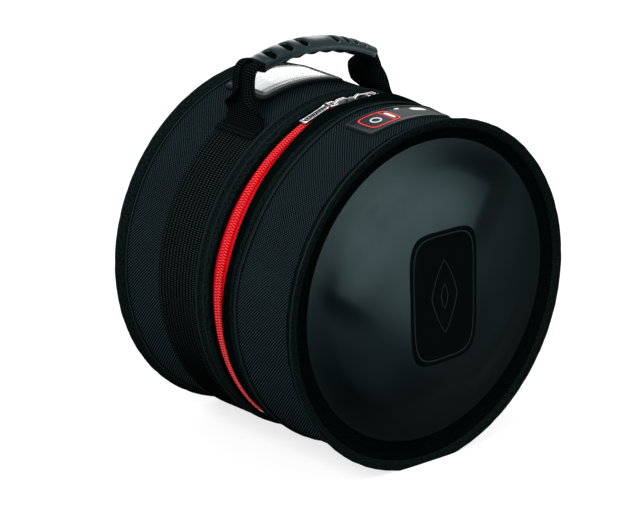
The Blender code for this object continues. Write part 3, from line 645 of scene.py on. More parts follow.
@dataclass(frozen=True)
class Webbing(Finish):
    """Belt webbing: lengthwise columns with dark gaps, each of short level dashes."""

    rows: float = 250.0
    gap: float = 1.0
    # foot: the share of the pattern left at the bottom of the bag; this dimming is painted shade.
    foot: float = 1.0

    def pattern(self, recipe: Recipe) -> bpy.types.NodeSocket:
        """Return columns as bows across the belt, cut into dashes, with painted shade that dims them
        towards the bottom of the bag.
        """
        cloth = recipe.surface()
        across = recipe.phase(cloth, 0.0, self.rows)
        row = recipe.math("FLOOR", across)
        within = recipe.math("SUBTRACT", across, row)
        bow = recipe.math("SINE", recipe.math("MULTIPLY", within, math.pi))
        bow = recipe.math("MULTIPLY_ADD", bow, 1.4 + self.gap, -self.gap)
        bow = recipe.math("MAXIMUM", recipe.math("MINIMUM", bow, 1.0), 0.0)
        dash = recipe.math("POWER", recipe.ribs(cloth, self.cells, 0.0), 1.6)
        # Painted shade: the pattern dims with the object's height, towards the ground.
        height = recipe.add("SeparateXYZ", {0: recipe.place()}).outputs[2]
        painted_shade_span = {0: height, 1: 0.06, 2: 0.17, 3: self.foot, 4: 1.0}
        share = recipe.add("MapRange", painted_shade_span).outputs[0]
        fuzz = recipe.noise(cloth, 5.0 * self.rows, 2.0)
        cut = recipe.math("MULTIPLY", recipe.math("MULTIPLY", bow, dash), share)
        return recipe.blend(0.03, cut, fuzz)


@dataclass(frozen=True)
class Ribbed(Finish):
    """Narrow woven tape or satin thread: fine ribs in one direction of the surface."""

    slant: float = 0.0
    depth: float = 0.6

    def pattern(self, recipe: Recipe) -> bpy.types.NodeSocket:
        """Return ribs that cross the piece, softened by a fine fuzz."""
        cloth = recipe.surface()
        ribs = recipe.ribs(cloth, self.cells, self.slant * self.cells)
        fuzz = recipe.noise(cloth, 2.5 * self.cells, 2.0)
        return recipe.blend(self.depth, fuzz, ribs)


@dataclass(frozen=True)
class Glinting(Finish):
    """Hard wound wire with a painted glint at the top of each turn, so many to the metre."""

    def pattern(self, recipe: Recipe) -> bpy.types.NodeSocket:
        """Return a narrow peak for each turn, the painted glint: a sine raised to a high power."""
        return recipe.math("POWER", recipe.ribs(recipe.surface(), self.cells, 0.0), 7.0)


@dataclass(frozen=True)
class Bound(Finish):
    """Folded binding tape: mottled, with lengthwise lines of painted highlight and painted shade.

    A line is (place across the tape, half width, gain); a painted shade line has a gain below 0.
    """

    depth: float = 0.45
    lines: tuple[tuple[float, float, float], ...] = ()

    def pattern(self, recipe: Recipe) -> bpy.types.NodeSocket:
        """Return blotches, with each line as painted highlight on them or painted shade cut into them,
        in colour and relief alike.
        """
        cloth = recipe.surface()
        blotch = recipe.math("MULTIPLY_ADD", recipe.noise(cloth, self.cells, 3.0), 3.0, -1.0)
        height = recipe.math("MULTIPLY", recipe.math("MAXIMUM", blotch, 0.0), self.depth)
        across = recipe.phase(cloth, 0.0, 1.0)
        for place, width, gain in self.lines:
            off = recipe.math("ABSOLUTE", recipe.math("SUBTRACT", across, place))
            line = recipe.math("MAXIMUM", recipe.math("MULTIPLY_ADD", off, -1.0 / width, 1.0), 0.0)
            # Gain above 0: painted highlight; gain below 0: painted shade.
            if gain > 0.0:
                height = recipe.math("MAXIMUM", height, recipe.math("MULTIPLY", line, gain))
            else:
                height = recipe.math("MULTIPLY", height, recipe.math("SUBTRACT", 1.0, line))
        return height


@dataclass(frozen=True)
class Grained(Finish):
    """Vinyl or moulded rubber: small rounded cells between fine creases."""

    def pattern(self, recipe: Recipe) -> bpy.types.NodeSocket:
        """Return the distance to the nearest cell middle, bent by noise."""
        place = recipe.place()
        inputs = {"Vector": place, "Scale": self.cells, "Randomness": 1.0}
        cells = recipe.add("TexVoronoi", inputs, feature="SMOOTH_F1").outputs["Distance"]
        return recipe.blend(0.4, cells, recipe.noise(place, 2.0 * self.cells, 3.0))


@dataclass(frozen=True)
class Ruled(Finish):
    """Card with a few thin ruled lines along it."""

    lines: float = 125.0

    def pattern(self, recipe: Recipe) -> bpy.types.NodeSocket:
        """Return 1 on the card and 0 on its lines, with a faint paper grain."""
        cloth = recipe.surface()
        ribs = recipe.ribs(cloth, 0.0, self.lines)
        line = recipe.math("LESS_THAN", ribs, 0.985)
        return recipe.blend(0.2, line, recipe.noise(cloth, self.cells, 3.0))


@dataclass(frozen=True)
class Clear(Finish):
    """Clear soft plastic: mostly see-through, with a gloss."""

    opacity: float = 0.16

    def material(self) -> bpy.types.Material:
        """Return the material: a thin veil of white under a gloss."""
        made = super().material()
        made.node_tree.nodes["Principled BSDF"].inputs["Alpha"].default_value = self.opacity
        return made


TEAL = (0.62, 0.94, 1.0)
NYLON = Basketweave(
    "nylon", (0.0001, 0.0003, 0.0004), (0.046, 0.076, 0.086), (0.85, 0.75), 0.0005, 340.0,
    shine=0.0,
)
# The belt's pattern dims to 0.15 of itself near the ground: painted shade.
WEBBING = Webbing(
    "webbing", (0.0001, 0.0003, 0.0003), (0.036, 0.054, 0.055), (0.85, 0.75), 0.0006, 520.0,
    shine=0.0, foot=0.15,
)
STRAP = Webbing(
    "strap_webbing", (0.0001, 0.0003, 0.0003), (0.018, 0.029, 0.031), (0.85, 0.75), 0.0005, 520.0,
    shine=0.0, rows=320.0, gap=0.6,
)
BACKING = Finish("backing", (0.40, 0.41, 0.41), (0.55, 0.56, 0.56), (0.6, 0.5), 0.00001, 400.0)
BINDING = Bound(
    "binding", (0.0003, 0.0011, 0.0011), (0.026, 0.043, 0.044), (0.7, 0.6), 0.00015, 650.0, 0.4,
    shine=0.0, tint=TEAL,
)
# A darker copy of the binding: painted shade on its rolled edge beside the zip.
BINDING_PAINTED_SHADE = Ribbed(
    "dark_binding", (0.0002, 0.0010, 0.0010), (0.0026, 0.0066, 0.0063), (0.8, 0.7), 0.00015, 650.0,
    0.6, shine=0.0, tint=TEAL, slant=0.6,
)
VINYL = Grained(
    "vinyl", (0.0002, 0.0010, 0.0010), (0.0006, 0.0022, 0.0023), (0.36, 0.30), 0.00005, 900.0,
    shine=0.016, tint=(0.40, 0.88, 0.96),
)
PATCH = Ribbed(
    "patch", (0.0004, 0.0008, 0.0009), (0.0060, 0.0104, 0.0114), (0.75, 0.65), 0.0002, 1400.0,
    shine=0.0,
)
PATCH_LINE = Ribbed(
    "patch_line", (0.010, 0.017, 0.018), (0.026, 0.040, 0.042), (0.6, 0.5), 0.0001, 1400.0,
    shine=0.01, tint=TEAL,
)
ZIP_TAPE = Ribbed(
    "zip", (0.50, 0.002, 0.007), (0.95, 0.008, 0.018), (0.75, 0.6), 0.0002, 600.0, 0.15,
    shine=0.03, slant=1.0,
)
# The coil's light colour is a painted glint on each turn.
ZIP_COIL = Glinting(
    "zip_coil", (0.90, 0.004, 0.012), (1.0, 0.095, 0.110), (0.30, 0.20), 0.00001, 400.0, 0.0,
    shine=0.04,
)
BLACK_METAL = Finish(
    "black_metal", (0.020, 0.022, 0.024), (0.040, 0.043, 0.046), (0.30, 0.24), 0.000004, 300.0,
    metallic=1.0,
)
METAL = Finish(
    "metal", (0.62, 0.62, 0.63), (0.80, 0.80, 0.81), (0.16, 0.11), 0.000004, 300.0, metallic=1.0
)
RUBBER = Grained(
    "rubber", (0.0022, 0.0052, 0.0058), (0.0060, 0.0105, 0.0115), (0.5, 0.42), 0.00004, 1500.0,
    shine=0.05, tint=TEAL,
)
# A lighter copy of the rubber: painted highlight on the top of the name frame's bead.
RUBBER_PAINTED_HIGHLIGHT = Grained(
    "rubber_edge", (0.030, 0.048, 0.050), (0.060, 0.085, 0.088), (0.5, 0.42), 0.00004, 1500.0,
    shine=0.05, tint=TEAL,
)
GRIP = Grained(
    "grip", (0.0040, 0.0100, 0.0108), (0.0080, 0.0175, 0.0190), (0.38, 0.30), 0.00003, 1800.0,
    shine=0.20, tint=TEAL,
)
# A darker copy of the grip: painted shade for the faces deep in its cuts.
GRIP_CUT_SHADE = Grained(
    "grip_inlay", (0.0004, 0.0010, 0.0010), (0.0010, 0.0020, 0.0021), (0.8, 0.7), 0.00003, 1800.0,
    shine=0.02, tint=TEAL,
)
LINING = Ribbed(
    "lining", (0.006, 0.007, 0.008), (0.016, 0.017, 0.019), (0.75, 0.6), 0.00006, 1600.0, shine=0.1
)
FOAM = Grained(
    "foam", (0.035, 0.036, 0.038), (0.055, 0.056, 0.060), (0.95, 0.85), 0.0003, 1200.0, shine=0.1
)
CARD = Ruled("card", (0.45, 0.46, 0.47), (0.86, 0.87, 0.87), (0.7, 0.6), 0.00001, 2500.0)
WINDOW = Clear(
    "window", (0.80, 0.83, 0.84), (0.92, 0.94, 0.95), (0.10, 0.06), 0.00001, 200.0, shine=0.6
)
THREAD = Ribbed(
    "thread", (0.0010, 0.0024, 0.0024), (0.0070, 0.0125, 0.0125), (0.6, 0.45), 0.00008, 2500.0,
    shine=0.05,
)
RED_PRINT = Finish(
    "red_print", (0.74, 0.018, 0.024), (0.90, 0.030, 0.036), (0.5, 0.4), 0.00003, 1200.0, shine=0.2
)
WHITE_PRINT = Finish(
    "white_print", (0.76, 0.77, 0.77), (0.92, 0.93, 0.93), (0.5, 0.4), 0.00003, 1200.0, shine=0.2
)


def make_piece(
    name: str,
    skin: Skin,
    finish: Finish,
    body: str | None,
    stands_for: Sequence[str] = (),
    slot: str | None = None,
    second: Finish | None = None,
) -> bpy.types.Object:
    """Make a skin into an object of the scene, and tie it to its CAD body.

    Points in the same place are merged, which closes seams and poles, and the faces
    are turned outwards.

    Args:
        name: The piece's name.
        skin: Its surface.
        finish: Its finish.
        body: The CAD body it rides on, or None for one that is tied afterwards.
        stands_for: The CAD nodes that it replaces.
        slot: The record's slot, where it isn't the finish's own; not used.
        second: The finish of the faces with the second tone.

    Returns:
        The new object.
    """
    data = bpy.data.meshes.new(name)
    data.from_pydata(skin.points.tolist(), [], skin.faces.tolist())
    layer = data.uv_layers.new(name="UVMap")
    layer.data.foreach_set("uv", skin.uv.astype(np.float32).ravel())
    data.polygons.foreach_set("material_index", skin.tone.astype(np.int32))
    build = bmesh.new()
    build.from_mesh(data)
    bmesh.ops.remove_doubles(build, verts=build.verts, dist=MERGE)
    bmesh.ops.recalc_face_normals(build, faces=build.faces)
    build.to_mesh(data)
    build.free()
    data.shade_smooth()
    data.set_sharp_from_angle(angle=math.radians(SHARP_ANGLE))
    for kind in (finish, second) if second else (finish,):
        data.materials.append(kind.material())
    piece = bpy.data.objects.new(name, data)
    bpy.context.scene.collection.objects.link(piece)
    if body is not None:
        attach(piece, body)
    slot or finish.slot
    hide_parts(*stands_for)
    LOG.info("%s: %d faces", name, len(data.polygons))
    return piece


@dataclass(frozen=True)
class Stitch:
    """One stitch of a seam, and the rows that it is repeated in."""

    pitch: float = 0.0036
    length: float = 0.0029
    thread: float = 0.0005

    def shape(self) -> Skin:
        """Return one stitch: a thin spindle, half sunk in the cloth."""
        share = np.linspace(0.0, 1.0, 5)
        bow = np.sin(math.pi * share)
        swell = self.thread / 2 * np.sqrt(bow.clip(0.0))
        drop = -self.thread * (1 - bow) / 2
        places = np.stack([(share - 0.5) * self.length, 0 * share, drop], axis=1)
        line = Path.along_points(places, (0.0, 1.0, 0.0))
        return line.carry(oval(1.0, 1.0, 2.0, 6)[None] * swell[:, None, None])

    def row(self, path: Path, side: float | Array, up: float) -> Skin:
        """Return a row of stitches beside a path, at one offset or at one for each place."""
        return self.shape().repeated(path.spaced(self.pitch, side, up))


@dataclass
class EndPart:
    """A part that both halves of the bag have.

    Depths count inwards from the half's rim, and insets from its edge of the mouth.
    """

    case: Case
    end: End

    def depth_y(self, depth: Array) -> Array:
        """Return the y of a depth."""
        return self.case.at_depth(self.end, depth)

    def inset_y(self, inset: Array) -> Array:
        """Return the y of an inset."""
        return self.case.edges[self.end] + self.end.value * inset

    def make(
        self,
        name: str,
        skin: Skin,
        finish: Finish,
        nodes: Sequence[str] = (),
        slot: str | None = None,
        second: Finish | None = None,
    ) -> bpy.types.Object:
        """Make a piece on this half, whose body starts its name and its nodes' names."""
        body = self.end.body
        nodes = [f"{body}_{node}" for node in nodes]
        return make_piece(f"{body}_{name}", skin, finish, body, nodes, slot, second)


@dataclass
class Half(EndPart):
    """One half of the padded case: nylon outside, foam, and a lining cup inside."""

    shoulder: float = 0.0080
    edge_gap: float = 0.0015
    cloth: float = 0.0012
    swell: float = 0.00012
    dent: float = 0.00045
    foam_outside: float = 0.1479
    foam_inside: float = 0.1406
    foam_face: float = 0.0066
    foam_back: float = 0.0154
    tape_rebate: float = 0.0073
    tape_radius: float = 0.1453
    lining_outside: float = 0.1402
    lining_inside: float = 0.1390
    lining_back: float = 0.0158
    floor: float = 0.0170
    gather: float = 0.00025
    cord: float = 0.0018
    cord_inset: float = 0.0021
    trim_leg: float = 0.0110
    trim: float = 0.0005

    def wall(self) -> None:
        """Make the nylon wall: a tube whose outside is a little uneven, as cloth on foam."""
        case = self.case
        start, stop = self.depth_y(self.shoulder), self.inset_y(self.edge_gap)
        inner = case.radius - self.cloth
        columns = 34
        outline = np.append(np.linspace(start, stop, columns), [stop, start, start])
        radius = np.append(np.full(columns, case.radius), [inner, inner, case.radius])
        path = case.around()
        share = np.append(np.linspace(0.0, 1.0, columns), np.zeros(3))
        waves = unevenness(case.angles(path), outline, (3, 5, 8, 13), 7 + self.end.value)
        rise = self.swell + self.dent * waves
        rise = np.minimum(rise, case.lift) * np.sin(math.pi * share) ** 0.5
        section = np.stack([np.broadcast_to(outline, rise.shape), radius + rise], axis=2)
        skin = path.carry(section)
        skin.uv[..., 1] *= -self.end.value
        self.make("wall_cloth", skin, NYLON, ["shell"])

    def padding(self) -> None:
        mouth, rebate = self.lift_from_mouth(0.0), self.lift_from_mouth(self.tape_rebate)
        face, back = self.depth_y(self.foam_face), self.depth_y(self.foam_back)
        profile = [
            (face, 0.0),
            (face, self.lining_outside),
            (self.depth_y(self.shoulder + self.case.lift), self.foam_outside),
            (rebate, self.foam_outside),
            (rebate, self.tape_radius),
            (mouth, self.tape_radius),
            (mouth, self.foam_inside),
            (back, self.foam_inside),
            (back, 0.0),
        ]
        skin = self.case.around().carry(filled(np.array(profile), 0.02))
        piece = self.make("padding", skin, FOAM, ["foam_wall", "foam_end"])

    def lift_from_mouth(self, inset: float) -> float:
        """Return the y of an inset that stays clear of the edge's trim."""
        return self.inset_y(inset + self.case.lift)

    def lining(self) -> None:
        """Make the lining cup, slightly gathered at its corner, and its floor seam."""
        mouth = self.lift_from_mouth(0.0)
        floor, back = self.depth_y(self.floor), self.depth_y(self.lining_back)
        profile = [
            (floor, 0.0),
            (floor, self.lining_inside),
            (mouth, self.lining_inside),
            (mouth, self.lining_outside),
            (back, self.lining_outside),
            (back, 0.0),
        ]
        outline = filled(np.array(profile), 0.006)
        path = self.case.around()
        waves = unevenness(self.case.angles(path), outline[:, 0], (23, 37, 51), 3)
        inside = (outline[:, 1] <= self.lining_inside + MERGE) & (outline[:, 1] > 0.0)
        section = path.sections(outline)
        section[..., 1] -= self.gather * (1 + waves) * inside
        skin = path.carry(section) + path.carry(self.floor_cord())
        self.make("lining_cup", skin, LINING, ["lining"])

    def floor_cord(self) -> Array:
        """Return the outline of the seam between the lining's wall and its floor."""
        size = self.cord
        outline = softened([(0.0, 0.0), (size, 0.0), (size, size), (0.0, size)], size / 2)
        depth = self.floor + size if self.end is End.LID else self.floor
        return outline + np.array([self.depth_y(depth), self.lining_inside - self.cord_inset])

    def mouth_trim(self) -> None:
        """Make the tape that covers the foam's edge and runs on inside the mouth."""
        case = self.case
        low, high = self.lining_inside - self.trim, self.tape_radius + case.lift
        outer, inner = self.inset_y(-self.trim), self.inset_y(self.trim_leg)
        face = self.inset_y(case.lift / 2)
        corners = [
            (inner, low), (outer, low), (outer, high), (face, high), (face, low + self.trim),
            (inner, low + self.trim),
        ]
        skin = case.around().carry(softened(corners, 0.0004, 3))
        self.make("mouth_trim", skin, BINDING)

    def build(self) -> None:
        """Make all of this half's layers."""
        self.wall()
        self.padding()
        self.lining()
        self.mouth_trim()


@dataclass
class Rim(EndPart):
    """The bound rim of one end: a tape on the wall that flares to a stiff bead."""

    width: float = 0.0114
    seam_depth: float = 0.0088
    seam_radius: float = 0.1513
    crest: float = 0.1554
    pucker: float = 0.00022
    dip: float = 0.85
    dip_angle: float = 22.0
    dip_spread: float = 15.0

    def profile(self) -> Array:
        """Return the section as (depth, radius): a thin tape, a crest and a hollow face."""
        corners = [
            (self.width, 0.1498),
            (self.width + 0.0003, 0.1506),
            (self.width - 0.0002, 0.1517),
            (self.width - 0.0014, 0.1515),
            (self.seam_depth, 0.1508),
            (0.0078, 0.1513),
            (0.0056, 0.1530),
            (0.0034, 0.1543),
            (0.0022, self.crest - 0.0001),
            (0.0006, self.crest),
            (0.0003, 0.1543),
            (0.0000, 0.1530),
            (0.0002, 0.1497),
            (0.0012, 0.1474),
            (0.0030, 0.1466),
            (0.0077, 0.1466),
            (0.0077, 0.1498),
        ]
        return filled(softened(corners, 0.0008, 3), 0.0022)

    def build(self) -> None:
        """Make the rim, pressed flat where it stands on the ground, and its seam.

        On the base it is also pressed down beside the card holder, as in use.
        """
        case = self.case
        path = case.around(steps=2 * ROUND_STEPS)
        outline = self.profile()
        angle = case.angles(path)
        section = path.sections(outline)
        loose = smooth_step((outline[:, 1] - case.surface) / 0.0015)
        waves = unevenness(angle, 9 * outline[:, 0], (29, 47, 71), 5)
        section[..., 1] += self.pucker * loose * waves
        if self.end is End.BASE:
            near = bell(np.degrees(angle), self.dip_angle, self.dip_spread, 4)
            proud = np.maximum(section[..., 1] - case.surface, 0.0)
            section[..., 1] -= self.dip * near * proud
        section[..., 0] = self.depth_y(section[..., 0])
        skin = path.carry(section)
        skin.points[:, 2] = np.maximum(skin.points[:, 2], 0.0)
        across = lengths(outline)
        crest = float(across[outline[:, 1].argmax()])
        lip = float(across[outline[:, 0].argmax()])
        groove = lip + self.width - self.seam_depth + 0.0008
        # Painted highlights along the tape's folded edge and the bead's crest, and painted shade in the
        # seam's hollow, in colour and relief.
        lines = ((lip + 0.0010, 0.0011, 1.0), (groove, 0.0016, -1.0), (crest, 0.0010, 1.0))
        self.make("rim", skin, replace(BINDING, lines=lines), ["rim_binding"])
        seam = Stitch().row(path, float(self.depth_y(self.seam_depth)), self.seam_radius)
        self.make("rim_seam", seam, THREAD, slot="binding")


@dataclass
class MouthBinding(EndPart):
    """The folded binding along one edge of the mouth, with two soft ridges.

    Leans are rows of (degrees from the top, lean), rises and the slider's lean are
    (middle and spread in degrees, height), and lines are those of its finish: painted
    highlights on the ridges and outer edge, and painted shade in the groove between the ridges.
    """

    width: float = 0.0175
    seam_inset: float = 0.0125
    seam_radius: float = 0.1509
    lean_reach: float = 0.0075
    leans: Pairs = (
        (0.0, 0.0034), (20.0, 0.0032), (34.0, 0.0026), (46.0, 0.0020), (60.0, 0.0009),
        (76.0, 0.0008), (88.0, 0.0022), (98.0, 0.0031), (112.0, 0.0034), (126.0, 0.0026),
        (138.0, 0.0), (180.0, 0.0),
    )
    slider_lean: tuple[float, float, float] = (18.0, 14.0, 0.0009)
    rises: tuple[tuple[float, float, float], ...] = (
        (22.0, 16.0, 0.0014), (13.0, 8.0, 0.0026), (-15.0, 9.0, 0.0026),
    )
    # Painted highlights on the ridges and outer edge; the line with a gain below 0 is painted shade in
    # the groove.
    lines: tuple[tuple[float, float, float], ...] = (
        (0.0202, 0.0008, 1.0), (0.0182, 0.0012, 0.7), (0.0152, 0.0010, -1.0),
        (0.0100, 0.0016, 0.55),
    )
    pucker: float = 0.00014
    dark_reach: dict[End, float] = by_end(0.0088, 0.0036)
    slack: dict[End, float] = by_end(0.0060, 0.0)
    slack_lean: dict[End, float] = by_end(-0.0018, 0.0030)
    lean_rise: dict[End, float] = by_end(0.55, 0.15)

    def lip(self, angle: Array) -> Array:
        """Return how far the rolled edge leans over the zip, round the bag.

        It follows a table, and leans a little further beside the sliders. Below,
        where the halves turn against each other, it doesn't lean.

        Args:
            angle: The angle round the bag, in degrees.
        """
        table = np.array(self.leans)
        middle, spread, lean = self.slider_lean
        near = bell(angle, middle, spread)
        return np.interp(np.abs(angle), table[:, 0], table[:, 1]) + lean * near

    def profile(self) -> Array:
        """Return the section as (inset, radius): rolled at the zip, then two ridges."""
        corners = [
            (0.0000, 0.1468),
            (0.0000, 0.1484),
            (0.0012, 0.1496),
            (0.0050, 0.1504),
            (0.0088, 0.1505),
            (0.0104, 0.1513),
            (0.0124, 0.1510),
            (0.0134, 0.1507),
            (0.0146, 0.1516),
            (0.0162, 0.1520),
            (0.0176, 0.1514),
            (self.width + 0.0004, 0.1502),
            (self.width, 0.1498),
            (0.0015, 0.1494),
            (0.0015, 0.1480),
            (0.0070, 0.1480),
            (0.0070, 0.1468),
        ]
        return filled(softened(corners, 0.0010, 3), 0.0025)

    def build(self) -> None:
        """Make the binding and the seam between its ridges."""
        case, end = self.case, self.end
        path = case.around(steps=2 * ROUND_STEPS)
        outline = self.profile()
        angle = case.angles(path)
        degrees = np.degrees(angle)
        section = path.sections(outline)
        loose = smooth_step((outline[:, 1] - case.surface) / 0.001)
        waves = unevenness(angle, 9 * outline[:, 0], (31, 53, 67), 11)
        section[..., 1] += self.pucker * loose * waves
        texture = path.carry(section).uv
        near = 1.0 - smooth_step(outline[:, 0] / self.lean_reach)
        slack = slackness(degrees)
        leaning = (self.lip(degrees) + self.slack_lean[end] * slack) * near
        drift = self.slack[end] * slack
        section[..., 0] += drift * smooth_step((outline[:, 0] - 0.0040) / 0.0080)
        section[..., 0] -= leaning
        section[..., 1] += self.lean_rise[end] * leaning
        if end is End.LID:
            for middle, spread, rise in self.rises:
                section[..., 1] += rise * bell(degrees, middle, spread) * near
        section[..., 0] = self.inset_y(section[..., 0])
        # Painted shade: the rolled edge next to the zip takes a darker copy of the binding's finish.
        painted_shade_near_zip = np.broadcast_to(self.dark_reach[end] - outline[:, 0], section.shape[:2])
        skin = path.carry(section).toned(painted_shade_near_zip.ravel())
        skin.uv = texture
        bright = replace(BINDING, lines=self.lines)
        self.make("mouth_binding", skin, bright, ["zip_binding"], second=BINDING_PAINTED_SHADE)
        seam = Stitch().row(path, self.inset_y(self.seam_inset + drift), self.seam_radius)
        self.make("mouth_seam", seam, THREAD, slot="binding")


@dataclass
class EndPanel(EndPart):
    """The panel inside one rim: a ring of tape cloth, and the middle cloth or vinyl.

    Creases are rows of (x, z, direction in degrees, half length, half widths to the
    right and to the left of that direction, height).
    """

    bead_radius: float = 0.1470
    bead_depth: float = 0.0030
    ring_inner: float = 0.1240
    panel_radius: float = 0.1340
    panel_raise: float = 0.0035
    panel_depth: float = 0.0056
    thickness: float = 0.0008
    seam_inset: float = 0.0022
    puff: float = 0.0044
    creases: tuple[tuple[float, ...], ...] = (
        (-0.020, -0.040, 80.0, 0.070, 0.075, 0.075, 0.0036),
        (0.062, 0.072, 57.0, 0.050, 0.019, 0.060, 0.0030),
        (-0.092, 0.016, -36.0, 0.032, 0.013, 0.040, 0.0018),
        (-0.066, -0.082, -35.0, 0.040, 0.014, 0.024, 0.0018),
        (0.008, -0.084, 6.0, 0.050, 0.018, 0.050, 0.0036),
        (0.078, -0.070, 40.0, 0.050, 0.016, 0.016, 0.0012),
        (-0.060, 0.075, 35.0, 0.050, 0.020, 0.014, -0.0007),
    )

    def relief(self, x: Array, z: Array) -> Array:
        """Return how far the panel stands out: a shallow dome with a few soft creases.

        The dome falls with the square of the radius. A crease is a bell curve along
        and across its own direction.
        """
        out = np.hypot(x, z) / self.panel_radius
        height = np.zeros_like(out)
        for at_x, at_z, angle, length, right, left, rise in self.creases:
            c, s = math.cos(math.radians(angle)), math.sin(math.radians(angle))
            along = (x - at_x) * c + (z - at_z) * s
            across = (z - at_z) * c - (x - at_x) * s
            width = np.where(across > 0, left, right)
            height = height + rise * np.exp(-((along / length) ** 2) - (across / width) ** 2)
        return self.puff * (1.0 - out**2) + height * smooth_step((1.0 - out) / 0.22)

    def ring(self) -> Skin:
        """Return the ring that falls from the bead to below the edge of the panel."""
        corners = [
            (self.bead_depth, self.bead_radius),
            (self.panel_depth, 0.1405),
            (self.panel_depth + 0.0004, self.ring_inner),
            (self.panel_depth + 0.0009, self.ring_inner),
            (self.panel_depth + 0.0009, self.bead_radius),
        ]
        outline = filled(softened(corners, 0.0003, 2), 0.004)
        outline[:, 0] = self.depth_y(outline[:, 0])
        return self.case.around().carry(outline)

    def panel(self) -> Skin:
        """Return the middle panel, a closed thin disc with its relief."""
        thick = self.thickness
        top = [(share, thick) for share in np.linspace(0.0, 1.0, 90)[1:]]
        profile = [(1.0, 0.0), (0.0, 0.0), (0.0, thick / 2), (0.003, thick), *top]
        circle = oval(self.panel_radius, self.panel_radius, 2.0, 256)
        skin = plate(circle, 0 * circle, profile)
        x, z = skin.points[:, 0], skin.points[:, 1]
        skin.points[:, 2] += self.relief(x, z)
        return self.case.on_end(skin, self.end, self.panel_depth, 0.0, self.panel_raise)

    def build(self) -> None:
        """Make the ring, the panel and the seam round the panel's edge."""
        cloth, nodes = (VINYL, ["end_ring"]) if self.end is End.LID else (NYLON, [])
        # The ring's tape has a low depth of blotches, so it stays near its dark colour: painted shade
        # in the recess between bead and panel.
        self.make("end_tape", self.ring(), replace(BINDING, depth=0.12), nodes, "nylon")
        self.make("end_cloth", self.panel(), cloth, ["end_panel"])
        self.make("end_seam", self.seam(), THREAD, slot="binding")

    def seam(self) -> Skin:
        """Return the stitches round the panel's edge, which face along the axis."""
        path = self.case.around()
        path.places = path.places + np.array([0.0, 0.0, self.panel_raise])
        depth = float(self.depth_y(self.panel_depth - self.thickness))
        row = path.spaced(Stitch().pitch, depth, self.panel_radius - self.seam_inset)
        out = np.broadcast_to([0.0, float(self.end.value), 0.0], row.side.shape)
        return Stitch().shape().repeated(Path(row.places, row.up, out, row.along))


@dataclass
class Emblem:
    """The sewn patch on the lid's end: two satin frames round a lozenge."""

    case: Case
    panel: EndPanel
    width: float = 0.0780
    height: float = 0.1180
    squareness: float = 5.0
    x: float = 0.0150
    z: float = -0.0030
    edge: float = 0.0034
    field_rise: float = 0.0004
    satin_rise: float = 0.0007

    def frame(self, half_width: float, half_height: float, band: float, squareness: float) -> Skin:
        """Return a band of satin stitches, rounded across, round an outline."""
        share = np.linspace(0.0, 1.0, 9)
        bow = self.satin_rise * np.sqrt(np.sin(math.pi * share).clip(0.0))
        profile = [*zip(share, bow), (1.0, -self.field_rise), (0.0, -self.field_rise), (0.0, 0.0)]
        outer = oval(half_width, half_height, squareness, 160)
        inner = oval(half_width - band, half_height - band, squareness, 160)
        skin = plate(outer, inner, profile)
        rows = np.array(profile)
        points = skin.points.reshape(len(rows), len(outer), 3)
        return Skin.grid(points, lengths(outer)[None], rows[:, :1] * band)

    def build(self) -> None:
        """Make the patch, and fit it to the relief of the panel."""
        half_w, half_h = self.width / 2, self.height / 2
        outer = oval(half_w, half_h, self.squareness, 160)
        rise = self.field_rise
        top = [(share, rise) for share in np.linspace(0.1, 1.0, 12)]
        profile = [(1.0, -rise), (0.0, -rise), (0.0, rise / 2), (0.01, rise), *top]
        skin = plate(outer, 0 * outer, profile)
        gap, line = self.edge, 0.4 * self.edge
        for inset, band, square in ((0.0, gap, 5.0), (gap + line, 0.8 * gap, 4.6)):
            skin = skin + self.frame(half_w - inset, half_h - inset, band, square)
        lines = self.frame(half_w - gap, half_h - gap, line, 4.8)
        for size in (0.0190, 0.0080):
            skin = skin + self.frame(size, 1.9 * size, gap, 1.25)
            lines = lines + self.frame(size - gap, 1.9 * size - gap, line, 1.25)
        skin = skin + lines.second()
        x, z = skin.points[:, 0] + self.x, skin.points[:, 1] + self.z - self.panel.panel_raise
        skin.points[:, 2] += self.panel.relief(x, z)
        depth = self.panel.panel_depth - self.panel.thickness
        skin = self.case.on_end(skin, End.LID, depth, self.x, self.z)
        make_piece("lid_emblem", skin, PATCH, "lid", ["emblem"], second=PATCH_LINE)


